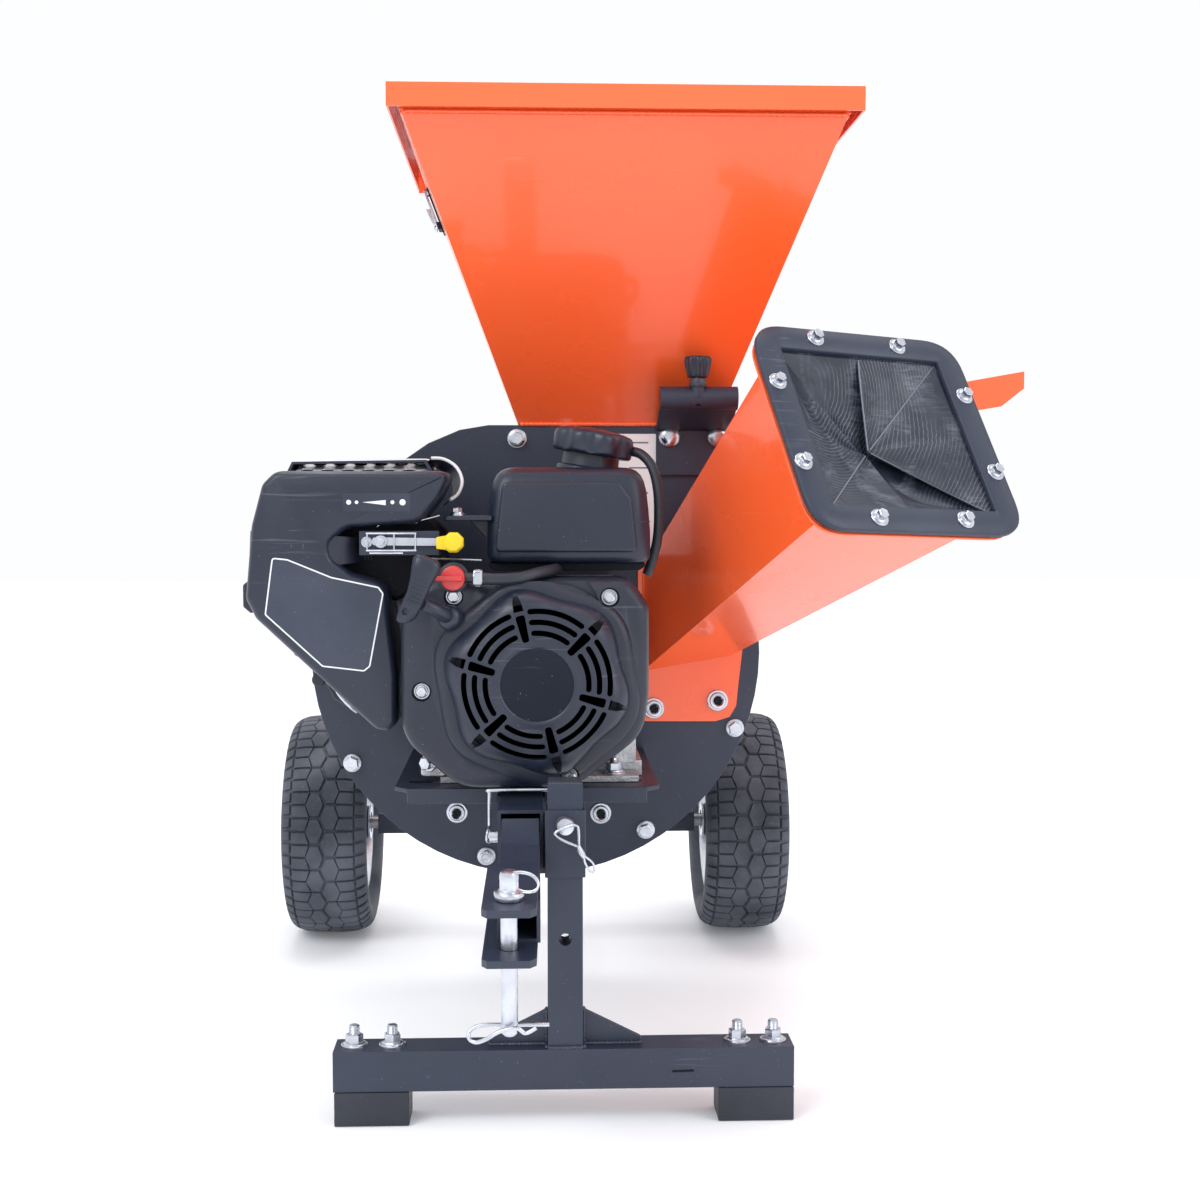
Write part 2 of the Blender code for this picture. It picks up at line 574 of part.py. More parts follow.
# ---------------------------------------------------------------- engine
def build_engine_core():
    case = prism([(-0.082, 0.284), (-0.082, 0.300), (-0.070, 0.455), (0.080, 0.455), (0.094, 0.420),
                  (0.094, 0.284)], -0.182, -0.0120)
    case.add(box(-0.098, 0.100, -0.175, -0.040, 0.2706, 0.2850))
    case.add(box(-0.090, 0.095, -0.2120, -0.170, 0.2706, 0.2765))
    case.add(rod((0, -0.0125, CRANK_Z), (0, -0.0030, CRANK_Z), 0.0300, 28))
    case.add(rod((-0.070, -0.060, 0.303), (-0.0935, -0.060, 0.3135), 0.0125, 16))
    case.cut(rod((-0.070, -0.060, 0.303), (-0.110, -0.060, 0.3209), 0.0072, 12))
    case.cut(rod((0, -0.25, CRANK_Z), (0, 0.05, CRANK_Z), 0.0128, 24))
    node("crankcase", case, "aluminium")

    tilt = math.radians(22)
    head = box(-0.185, -0.100, -0.150, -0.050, 0.355, 0.445)
    for i in range(5):
        x = -0.181 + 0.0155 * i
        head.add(box(x, x + 0.0035, -0.159, -0.041, 0.346, 0.454))
    head.add(box(-0.205, -0.180, -0.120, -0.057, 0.362, 0.438))
    head.cut(rod((-0.250, -0.135, 0.372), (-0.150, -0.135, 0.372), 0.0056, 12))
    about = Matrix.Translation((-0.100, 0, 0.400)) @ Matrix.Rotation(tilt * 0.35, 4, "Y")
    head.moved(about @ Matrix.Translation((0.100, 0, -0.400)))
    head.cut(box(-0.0815, 0.10, -0.3, 0.1, 0.2, 0.6))
    node("cylinder_head", head, "aluminium")

    plug = turned([(0.0050, 0.0), (0.0050, 0.016), (0.0095, 0.016), (0.0095, 0.024), (0.0060, 0.026),
                   (0.0075, 0.030), (0.0075, 0.048), (0.0040, 0.050)],
                  (-0.1820, -0.135, 0.372), (-1, 0, 0), 16)
    plug.moved(about @ Matrix.Translation((0.100, 0, -0.400)))
    node("spark_plug", plug, "black_rubber")


SHROUD = [(0.101, 0.440), (0.101, 0.358), (0.096, 0.322), (0.034, 0.2745), (-0.070, 0.2745),
          (-0.122, 0.320), (-0.122, 0.440), (-0.100, 0.4640), (0.084, 0.4640)]


def scaled(points, centre, factor):
    return [(centre[0] + (x - centre[0]) * factor, centre[1] + (z - centre[1]) * factor) for x, z in points]


def build_blower():
    middle = (-0.010, 0.372)
    shroud = prism(SHROUD, -0.272, -0.2145)
    shroud.cut(prism(scaled(SHROUD, middle, 0.965), -0.2690, -0.19))
    shroud.cut(rod((0, -0.3, CRANK_Z), (0, -0.25, CRANK_Z), 0.0810, 40))
    node("blower_shroud", shroud, "black_plastic")

    axis = (0, -1, 0)
    base = (0, 0, CRANK_Z)
    cover = turned_cup(base, axis)
    for i in range(6):
        angle = math.radians(104 - 60 * i)
        c, s = math.cos(angle), math.sin(angle)
        slot = [(0.040, -0.0032), (0.062, -0.0040), (0.062, 0.0040), (0.040, 0.0032)]
        cover.cut(prism([(c * a - s * b, CRANK_Z + s * a + c * b) for a, b in slot], -0.35, -0.28))
    node("recoil_cover", cover, "black_plastic")

    fan = turned([(0.0130, -0.232), (0.0720, -0.232), (0.0720, -0.238), (0.0300, -0.238), (0.0300, -0.255),
                  (0.0130, -0.255), (0.0130, -0.232)], (0, 0, CRANK_Z), (0, 1, 0), 36)
    for i in range(12):
        blade = box(0.045, 0.0715, -0.2600, -0.2370, -0.0012, 0.0012)
        fan.add(blade.moved(Matrix.Translation((0, 0, CRANK_Z)) @ Matrix.Rotation(i * math.pi / 6, 4, "Y")))
    node("fan_flywheel", fan, "aluminium", (0, -0.245, CRANK_Z))

    shaft = rod((0, -0.262, CRANK_Z), (0, 0.106, CRANK_Z), 0.0125, 28)
    shaft.add(rod((0, 0.1013, CRANK_Z), (0, 0.1085, CRANK_Z), 0.0165, 6))
    shaft.add(rod((0, -0.264, CRANK_Z), (0, -0.2555, CRANK_Z), 0.0155, 6))
    node("crankshaft", shaft, "steel", (0, 0, CRANK_Z))

    top, bottom = Vector((-0.0930, -0.3080, 0.4830)), Vector((-0.1150, -0.3080, 0.4270))
    grip = loft(*grip_rings(top, bottom))
    node("recoil_handle", grip, "black_plastic", (top + bottom) / 2)


def turned_cup(base, axis):
    cup = turned([(0.0865, 0.2723), (0.0865, 0.2790), (0.0800, 0.2950), (0.0660, 0.3000),
                  (0.0, 0.3005)], base, axis, 40)
    hollow = turned([(0.0835, 0.26), (0.0835, 0.2780), (0.0775, 0.2925), (0.0640, 0.2970),
                     (0.0, 0.2973)], base, axis, 40)
    return cup.cut(hollow)


def grip_rings(top, bottom):
    along = (top - bottom).normalized()
    across = along.cross(Vector((0, 1, 0))).normalized()
    rings = []
    for end, wide in ((bottom, 0.0085), (top, 0.0120)):
        ring = []
        for i in range(12):
            angle = 2 * math.pi * i / 12
            ring.append(end + across * wide * math.cos(angle) + Vector((0, 1, 0)) * 0.0078 * math.sin(angle))
        rings.append(ring)
    return rings


COVER = [(-0.234, 0.560), (-0.076, 0.560), (-0.088, 0.535), (-0.105, 0.513), (-0.170, 0.509),
         (-0.186, 0.495), (-0.184, 0.482), (-0.167, 0.468), (-0.136, 0.459), (-0.1265, 0.377),
         (-0.1265, 0.331), (-0.134, 0.3245), (-0.146, 0.326), (-0.253, 0.427), (-0.262, 0.445),
         (-0.256, 0.511), (-0.246, 0.548)]


def build_intake():
    cover = prism(COVER, -0.252, -0.1650)
    inside = [(-0.231, 0.5570), (-0.081, 0.5570), (-0.092, 0.5365), (-0.107, 0.5165), (-0.171, 0.5125),
              (-0.189, 0.4970), (-0.187, 0.480), (-0.169, 0.4650), (-0.139, 0.4560), (-0.130, 0.377),
              (-0.130, 0.333), (-0.135, 0.3285), (-0.146, 0.331), (-0.250, 0.4285), (-0.2585, 0.445),
              (-0.253, 0.511), (-0.243, 0.546)]
    cover.cut(prism(inside, -0.2490, -0.15))
    node("air_cleaner_cover", cover, "black_plastic")

    carb = box(-0.120, -0.088, -0.185, -0.140, 0.4680, 0.5020)
    carb.add(rod((-0.121, -0.162, 0.488), (-0.086, -0.162, 0.488), 0.0150, 16))
    carb.add(rod((-0.104, -0.162, 0.4610), (-0.104, -0.162, 0.470), 0.0140, 16))
    node("carburetor", carb, "aluminium")

    muffler = box(-0.240, -0.130, -0.148, -0.062, 0.4720, 0.5400)
    muffler.add(rod((-0.2405, -0.085, 0.485), (-0.262, -0.085, 0.478), 0.0095, 14))
    muffler.cut(rod((-0.230, -0.085, 0.4883), (-0.270, -0.085, 0.4754), 0.0070, 12))
    node("muffler", muffler, "steel")

    guard = prism([(-0.247, 0.500), (-0.247, 0.540), (-0.232, 0.570), (-0.105, 0.572), (-0.098, 0.560),
                   (-0.098, 0.5575), (-0.1005, 0.5575), (-0.107, 0.5697), (-0.2305, 0.5677), (-0.2445, 0.5395),
                   (-0.2445, 0.500)], -0.1580, -0.0550)
    for i in range(6):
        for j in range(3):
            x = -0.218 + 0.0190 * i + (0.0095 if j % 2 else 0.0)
            guard.cut(rod((x, -0.136 + 0.0300 * j, 0.50), (x, -0.136 + 0.0300 * j, 0.60), 0.0058, 8))
    node("muffler_guard", guard, "black_coat")


def tank_loop(z, inset, front, rear):
    x0, x1 = -0.0455 + inset, 0.1050 - inset
    y0, y1 = front + inset, rear - inset
    c = 0.012
    return [(x0 + c, y0, z), (x1 - c, y0, z), (x1, y0 + c, z), (x1, y1 - c, z), (x1 - c, y1, z),
            (x0 + c, y1, z), (x0, y1 - c, z), (x0, y0 + c, z)]


def build_fuel():
    tank = loft(tank_loop(0.4760, 0.0, -0.236, -0.090), tank_loop(0.5350, 0.0, -0.236, -0.090))
    tank.add(loft(tank_loop(0.5340, 0.0, -0.236, -0.090), tank_loop(0.5640, 0.012, -0.225, -0.090)))
    neck_low, neck = Vector((0.0480, -0.170, 0.552)), Vector((0.0522, -0.170, 0.5760))
    tank.add(rod(neck_low, neck, 0.0250, 24))
    tank.cut(loft(tank_loop(0.4790, 0.003, -0.236, -0.090), tank_loop(0.5590, 0.013, -0.228, -0.090)))
    axis = (neck - neck_low).normalized()
    tank.cut(rod(neck - axis * 0.05, neck + axis * 0.02, 0.0215, 20))
    node("fuel_tank", tank, "black_plastic")

    base = neck + axis * GAP
    outline = []
    steps = 48
    for i in range(steps):
        radius = 0.0395 - 0.0016 * (1 + math.cos(8 * 2 * math.pi * i / steps)) / 2
        outline.append((radius * math.cos(2 * math.pi * i / steps), radius * math.sin(2 * math.pi * i / steps)))
    cap = prism(outline, 0.0, 0.0200, "z")
    cap.add(turned([(0.036, 0.019), (0.030, 0.0245), (0.0, 0.0265)], (0, 0, 0), (0, 0, 1), 32))
    cap.cut(rod((0, 0, -0.01), (0, 0, 0.004), 0.0345, 28))
    cap.add(rod((0, 0, -0.012), (0, 0, 0.010), 0.0205, 20))
    node("fuel_cap", cap.moved(Matrix.Translation(base) @ frame_along(axis)), "black_plastic", base)

    hose = wire([(-0.054, -0.281, 0.4700), (-0.035, -0.279, 0.4688), (-0.015, -0.270, 0.4690),
                 (0.003, -0.256, 0.4697), (0.012, -0.240, 0.4700), (0.014, -0.215, 0.4700)], 0.0042, 10)
    node("fuel_hose", hose, "black_rubber")
    vent = wire([(0.0965, -0.185, 0.5760), (0.1060, -0.190, 0.5680), (0.1130, -0.196, 0.5520),
                 (0.1150, -0.200, 0.5280), (0.1150, -0.204, 0.5020), (0.1120, -0.206, 0.4780),
                 (0.1070, -0.206, 0.4660)], 0.0036, 10)
    node("vent_hose", vent, "black_rubber")


def build_controls():
    bracket = box(-0.160, -0.088, -0.2440, -0.2420, 0.484, 0.5060)
    bracket.add(box(-0.160, -0.088, -0.2430, -0.2140, 0.484, 0.4860))
    node("throttle_bracket", bracket, "zinc")
    pivot = (-0.140, -0.2480, 0.496)
    lever = box(-0.146, -0.088, -0.2475, -0.2455, 0.4925, 0.5000)
    lever.add(prism(rounded(-0.089, -0.064, 0.4875, 0.5040, 0.006, 4), -0.2560, -0.2446))
    lever.add(rod((-0.140, -0.2520, 0.496), (-0.140, -0.2455, 0.496), 0.0060, 12))
    node("throttle_lever", lever, "yellow_plastic", pivot)

    centre = (-0.074, -0.2800, 0.4650)
    valve = rod((-0.074, -0.2723, 0.4650), (-0.074, -0.2860, 0.4650), 0.0105, 20)
    valve.add(box(-0.094, -0.066, -0.2905, -0.2850, 0.4625, 0.4675))
    node("fuel_valve_lever", valve, "red_plastic", centre)

    direction = Vector((-0.0235, 0.0, 0.0105)).normalized()
    seat = Vector((-0.0935, -0.060, 0.3135)) + direction * GAP
    stick = turned([(0.0062, -0.014), (0.0062, 0.0), (0.0135, 0.0), (0.0135, 0.010), (0.008, 0.012),
                    (0.008, 0.020), (0.0, 0.021)], seat, direction, 14)
    node("oil_dipstick", stick, "black_plastic", seat)


# ---------------------------------------------------------------- stand and tow bar
def build_stand():
    half = BAR_SIDE / 2
    top = PAD_H + BAR_SIDE + 0.0003
    low = PAD_H + 0.0003
    frame = box(-0.175, 0.2205, STAND_Y - half, STAND_Y + half, low, top)
    side = POST_SIDE / 2
    frame.add(box(STAND_X - side, STAND_X + side, STAND_Y - side, STAND_Y + side, top - 0.005, 0.2930))
    for sign in (-1, 1):
        x = STAND_X + sign * (side - 0.002)
        outline = [(x, 0.0960), (x, top - 0.003), (x + sign * 0.055, top - 0.003), (x + sign * 0.052, 0.0700)]
        frame.add(prism(outline, STAND_Y - 0.003, STAND_Y + 0.003))
    for z in (0.159, 0.2590):
        frame.cut(rod((STAND_X, -0.40, z), (STAND_X, -0.28, z), 0.0053, 16))
    for x in (-0.1582, -0.1256, 0.1733, 0.2045):
        frame.cut(rod((x, STAND_Y, 0.0), (x, STAND_Y, 0.1), 0.0045, 12))
    node("stand_frame", frame, "black_coat")
    for word, x0, x1, bolts in (("left", -0.174, -0.1100, (-0.1582, -0.1256)),
                                ("right", 0.1550, 0.2204, (0.1733, 0.2045))):
        pad = box(x0, x1, STAND_Y - 0.0190, STAND_Y + 0.0190, 0.0, PAD_H)
        for x in bolts:
            pad.add(rod((x, STAND_Y, PAD_H - 0.006), (x, STAND_Y, top + 0.012), 0.0042, 12))
        node(f"foot_pad_{word}", pad, "black_rubber")

    pin = rod((STAND_X, -0.3640, 0.2590), (STAND_X, -0.3080, 0.2590), 0.0050, 16)
    pin.add(rod((STAND_X, -0.3640, 0.2590), (STAND_X, -0.3522, 0.2590), 0.0078, 16))
    pin.add(wire([(0.0150, -0.3690, 0.2520), (0.0260, -0.3710, 0.2500), (0.0290, -0.3690, 0.2620),
                  (0.0270, -0.3600, 0.2650)], 0.0011, 6))
    pin.add(wire([(0.0245, -0.3705, 0.2500), (0.0350, -0.3690, 0.2400), (0.0460, -0.3640, 0.2250)], 0.0016, 6))
    node("stand_lock_pin", pin, "zinc", (STAND_X, -0.3585, 0.2590))


def droop(solid):
    y, z = TOW_PIVOT
    there = Matrix.Translation((0, y, z))
    return solid.moved(there @ Matrix.Rotation(TOW_DROOP, 4, "X") @ there.inverted())


def droop_point(point):
    y, z = TOW_PIVOT
    c, s = math.cos(TOW_DROOP), math.sin(TOW_DROOP)
    dy, dz = point[1] - y, point[2] - z
    return Vector((point[0], y + c * dy - s * dz, z + s * dy + c * dz))


def build_tow():
    base = 0.2148
    bar = box(-0.0314 + GAP, 0.0022 - GAP, -0.500, -0.232, base, base + 0.0335)
    bar.cut(box(-0.0281, -0.0011, -0.60, -0.10, base + 0.003, base + 0.0305))
    low, high = base - 0.0057, base + 0.0332
    for z0 in (low, high):
        bar.add(prism([(-0.0400, -0.434), (-0.0420, -0.532), (-0.0380, -0.5375), (-0.0060, -0.5375),
                       (-0.0010, -0.532), (0.0012, -0.434)], z0, z0 + 0.006, "z"))
    bar.cut(rod((HITCH_X, -0.512, 0.15), (HITCH_X, -0.512, 0.30), 0.0072, 16))
    hole_y, hole_z = LOCK_Y + 0.0025, LOCK_Z - 0.0014
    bar.cut(rod((-0.10, hole_y, hole_z), (0.10, hole_y, hole_z), 0.0062, 16))
    node("tow_bar", droop(bar), "black_coat")

    axis_top = droop_point((HITCH_X, -0.512, high + 0.006 + GAP))
    down = (droop_point((HITCH_X, -0.512, 0.10)) - axis_top).normalized()
    pin = rod(axis_top - down * 0.0220, axis_top + down * 0.1080, 0.0065, 18)
    pin.add(rod(axis_top - down * 0.0060, axis_top, 0.0115, 18))
    hole = axis_top + down * 0.1000
    pin.cut(rod(hole - Vector((0.03, 0, 0)), hole + Vector((0.03, 0, 0)), 0.0021, 10))
    node("hitch_pin", pin, "zinc", axis_top)
    clip = wire([hole + Vector(p) for p in ((0.0300, 0, 0), (0, 0, 0), (-0.0200, 0, 0), (-0.0290, -0.0010, -0.0030),
                                            (-0.0310, -0.0035, -0.0080), (-0.0260, -0.0060, -0.0110),
                                            (-0.0180, -0.0090, -0.0080), (-0.0080, -0.0100, -0.0020),
                                            (0.0050, -0.0105, 0.0010), (0.0120, -0.0105, -0.0030),
                                            (0.0200, -0.0110, 0.0010))], 0.0013, 8)
    node("hitch_clip", clip, "zinc", hole)

    y, z = LOCK_Y, LOCK_Z
    lock = rod((-0.0420, y, z), (0.0344, y, z), 0.0052, 16)
    node("tow_lock_pin", lock, "zinc", (0.0, y, z))
    side = y + 0.0075
    bail = wire([(-0.0415, side, z - 0.0030), (-0.0420, side, z + 0.0100), (-0.0420, side, 0.2770),
                 (-0.0400, side, 0.2800), (0.0340, side, 0.2800), (0.0365, side, 0.2770),
                 (0.0365, y + 0.0040, 0.2560), (0.0360, y, z)], 0.0013, 8)
    node("tow_pin_bail", bail, "zinc", (0.0360, y, z))


build_housing()
build_rotor()
build_frame()
build_wheels()
build_hopper()
build_knob()
build_chute()
build_discharge()
build_engine_core()
build_blower()
build_intake()
build_fuel()
build_controls()
build_stand()
build_tow()
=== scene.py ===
"""Wood chipper: the looks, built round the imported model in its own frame.

Pieces are written in the drawing frame, where the crank axis is at X 0 and the
housing's front face is at Y 0, and are moved to the row frame when made.
"""
import math
import random

import bmesh
import bpy
from mathutils import Matrix, Vector


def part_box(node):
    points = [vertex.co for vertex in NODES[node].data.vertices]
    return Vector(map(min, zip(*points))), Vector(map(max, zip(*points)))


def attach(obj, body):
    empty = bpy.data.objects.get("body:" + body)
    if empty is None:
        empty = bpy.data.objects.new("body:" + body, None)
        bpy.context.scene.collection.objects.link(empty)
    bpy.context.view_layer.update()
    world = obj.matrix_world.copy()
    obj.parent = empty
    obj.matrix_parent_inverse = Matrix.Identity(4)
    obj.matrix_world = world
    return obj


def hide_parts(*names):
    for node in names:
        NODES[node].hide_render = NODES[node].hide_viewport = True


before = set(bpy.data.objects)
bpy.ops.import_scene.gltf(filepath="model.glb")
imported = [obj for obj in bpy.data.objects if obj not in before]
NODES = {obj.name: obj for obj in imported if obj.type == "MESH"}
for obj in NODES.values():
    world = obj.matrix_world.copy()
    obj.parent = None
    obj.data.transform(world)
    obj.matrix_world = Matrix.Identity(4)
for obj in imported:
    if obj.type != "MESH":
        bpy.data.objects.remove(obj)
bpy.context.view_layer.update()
RNG = random.Random(11)
SHAFT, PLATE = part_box("crankshaft"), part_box("housing_front_plate")
SHIFT = Vector(((SHAFT[0].x + SHAFT[1].x) / 2, PLATE[0].y, 0.0))
CRANK_Z = 0.372
HOUSING_DEPTH = 0.1152
HOPPER_FOOT, HOPPER_TOP = 0.6125, 0.891
TAU = 2 * math.pi


# ---- materials
class Finish:
    """One procedural material and the nodes in it."""

    def __init__(self, name, colour, rough, metal=0.0, coat=0.0, specular=0.5):
        self.mat = bpy.data.materials.new(name)
        self.mat.use_nodes = True
        self.tree = self.mat.node_tree
        self.shader = self.tree.nodes["Principled BSDF"]
        self.colour, self.rough = colour, rough
        self.tone = self.last_bump = None
        for key, value in (("Base Color", (*colour, 1.0)), ("Roughness", rough), ("Metallic", metal),
                           ("Coat Weight", coat), ("Coat Roughness", 0.06), ("Specular IOR Level", specular)):
            self.shader.inputs[key].default_value = value
        self.where = self.node("ShaderNodeTexCoord").outputs["Object"]

    def node(self, kind, links=(), **values):
        """Adds a node; values are its own settings or, with _ for a space, its inputs."""
        made = self.tree.nodes.new(kind)
        for key, value in values.items():
            if hasattr(made, key):
                setattr(made, key, value)
            else:
                made.inputs[key.replace("_", " ")].default_value = value
        for socket, source in links:
            self.tree.links.new(source, made.inputs[socket])
        return made

    def noise(self, scale, detail=3.0, stretch=None, warp=0.0):
        """A noise value over the object's own space."""
        where = self.where
        if stretch:
            where = self.node("ShaderNodeMapping", [("Vector", where)], Scale=stretch).outputs[0]
        return self.node("ShaderNodeTexNoise", [("Vector", where)], Scale=scale, Detail=detail,
                         Distortion=warp).outputs[0]

    def span(self, value, low, high, to_low=0.0, to_high=1.0):
        """Takes low..high of a value to to_low..to_high, and holds it there outside."""
        return self.node("ShaderNodeMapRange", [("Value", value)], From_Min=low, From_Max=high,
                         To_Min=to_low, To_Max=to_high).outputs[0]

    def both(self, first, second):
        """The product of two values."""
        return self.node("ShaderNodeMath", [(0, first), (1, second)], operation="MULTIPLY").outputs[0]

    def tint(self, share, colour):
        """Lays another colour over what is there, by a share."""
        mix = self.node("ShaderNodeMixRGB", [(0, share)], Color2=(*colour, 1.0))
        if self.tone is None:
            mix.inputs[1].default_value = (*self.colour, 1.0)
        else:
            self.tree.links.new(self.tone, mix.inputs[1])
        self.tone = mix.outputs[0]
        return self

    def vary_rough(self, value):
        self.tree.links.new(value, self.shader.inputs["Roughness"])
        return self

    def bump(self, height, strength, distance):
        made = self.node("ShaderNodeBump", [("Height", height)], Strength=strength, Distance=distance)
        if self.last_bump:
            self.tree.links.new(self.last_bump, made.inputs["Normal"])
        self.last_bump = made.outputs[0]
        return self

    def done(self):
        if self.tone is not None:
            self.tree.links.new(self.tone, self.shader.inputs["Base Color"])
        if self.last_bump:
            self.tree.links.new(self.last_bump, self.shader.inputs["Normal"])
        return self.mat


def dark(name, colour, rough, grain, grain_depth, dust=0.1, scuffs=0.3, specular=0.5, pale=(0.11, 0.13, 0.19)):
    """Black coat or moulded plastic: grain in the surface, dust, fine scuffs and rubbed patches."""
    f = Finish(name, colour, rough, specular=specular)
    cloud = f.noise(9.0, 5.0)
    f.tint(f.span(cloud, 0.35, 0.75, 0.0, dust), pale)
    lines = f.noise(38.0, 6.0, stretch=(0.35, 1.0, 7.0), warp=0.6)
    patch = f.noise(5.0, 3.0)
    scratch = f.both(f.span(lines, 0.62, 0.7), f.span(patch, 0.52, 0.66))
    f.tint(f.both(scratch, f.span(cloud, 0.3, 0.7, 0.6 * scuffs, scuffs)), (0.26, 0.29, 0.36))
    specks = f.noise(420.0, 2.0)
    f.tint(f.span(specks, 0.735, 0.76, 0.0, 0.25), (0.35, 0.36, 0.38))
    f.vary_rough(f.span(f.noise(14.0, 4.0), 0.3, 0.7, rough - 0.07, rough + 0.1))
    return f.bump(f.noise(grain, 3.0), 0.5, grain_depth).done()


def painted(name, colour, rough):
    """Glossy baked paint: orange peel, slight tone change and hairline scratches."""
    f = Finish(name, colour, rough, coat=0.55)
    deep = tuple(c * k for c, k in zip(colour, (0.93, 0.78, 0.75)))
    f.tint(f.span(f.noise(3.2, 3.0), 0.3, 0.75, 0.0, 0.55), deep)
    lines = f.noise(26.0, 6.0, stretch=(0.5, 0.5, 8.0), warp=0.4)
    patch = f.span(f.noise(6.0, 3.0), 0.56, 0.68)
    f.tint(f.both(f.span(lines, 0.66, 0.72, 0.0, 0.3), patch), (1.0, 0.45, 0.3))
    f.vary_rough(f.span(f.noise(11.0, 4.0), 0.3, 0.7, rough - 0.06, rough + 0.08))
    f.bump(f.noise(330.0, 2.0), 0.16, 0.0004)
    return f.bump(f.noise(34.0, 2.0), 0.12, 0.001).done()


def metal(name, colour, rough, grain=190.0, depth=0.0003, stain=(0.4, 0.41, 0.44), share=0.45, strength=0.35):
    """Bare or plated metal with duller stains."""
    f = Finish(name, colour, rough, metal=1.0)
    f.tint(f.span(f.noise(60.0, 5.0), 0.42, 0.72, 0.0, share), stain)
    f.vary_rough(f.span(f.noise(85.0, 3.0), 0.3, 0.7, rough - 0.08, rough + 0.14))
    return f.bump(f.noise(grain, 4.0), strength, depth).done()


def tyre_rubber():
    """Worn tread rubber: pale wear, dust and pores."""
    f = Finish("tyre_rubber_worn", (0.03, 0.036, 0.052), 0.62, specular=0.42)
    f.tint(f.span(f.noise(16.0, 5.0), 0.35, 0.7, 0.0, 0.6), (0.15, 0.165, 0.205))
    f.tint(f.span(f.noise(230.0, 3.0), 0.6, 0.75, 0.0, 0.3), (0.16, 0.16, 0.17))
    f.vary_rough(f.span(f.noise(30.0, 3.0), 0.3, 0.7, 0.52, 0.74))
    f.bump(f.noise(520.0, 3.0), 0.3, 0.0004)
    return f.bump(f.noise(60.0, 4.0), 0.25, 0.0008).done()


def flap_rubber():
    """Sheet rubber with the arcs that stacked parts and branches rub into it."""
    f = Finish("flap_rubber", (0.013, 0.018, 0.034), 0.4)
    move = f.node("ShaderNodeMapping", [("Vector", f.where)], Location=(-0.15, 0.215, -0.64))
    arcs = f.node("ShaderNodeTexWave", [("Vector", move.outputs[0])], wave_type="RINGS",
                  rings_direction="SPHERICAL", Scale=95.0, Distortion=2.2, Detail=3.0, Detail_Scale=2.2)
    lines = f.span(arcs.outputs["Fac"], 0.8, 1.0)
    patch = f.span(f.noise(11.0, 4.0, warp=0.8), 0.44, 0.66, 0.0, 0.42)
    haze = f.span(f.noise(16.0, 6.0, stretch=(1.0, 1.0, 0.4), warp=2.2), 0.52, 0.74, 0.0, 0.5)
    f.tint(f.span(f.noise(21.0, 5.0, warp=1.2), 0.45, 0.75, 0.0, 0.4), (0.075, 0.085, 0.115))
    rubbed = f.span(f.noise(90.0, 5.0, stretch=(0.3, 1.0, 2.5), warp=1.5), 0.4, 0.75)
    f.tint(f.both(rubbed, haze), (0.3, 0.33, 0.4))
    f.tint(f.both(lines, patch), (0.36, 0.38, 0.44))
    f.vary_rough(f.span(f.noise(34.0, 4.0), 0.3, 0.7, 0.32, 0.6))
    f.bump(lines, 0.03, 0.0003)
    return f.bump(f.noise(120.0, 4.0), 0.25, 0.0006).done()


def label_card():
    """A blank white label with grey bars where a real one is printed."""
    f = Finish("label_white", (0.83, 0.84, 0.86), 0.42)
    f.tint(f.span(f.noise(40.0, 4.0), 0.4, 0.75, 0.0, 0.3), (0.66, 0.67, 0.7))
    return f.bump(f.noise(300.0, 2.0), 0.15, 0.0002).done()


def plain(name, colour, rough, speckle=0.15, metal_share=0.0):
    """A moulded or printed colour with a little soiling."""
    f = Finish(name, colour, rough, metal=metal_share)
    f.tint(f.span(f.noise(45.0, 4.0), 0.35, 0.75, 0.0, speckle), tuple(min(1.0, c * 0.6 + 0.05) for c in colour))
    f.vary_rough(f.span(f.noise(60.0, 3.0), 0.3, 0.7, rough - 0.06, rough + 0.1))
    return f.bump(f.noise(260.0, 3.0), 0.3, 0.0004).done()


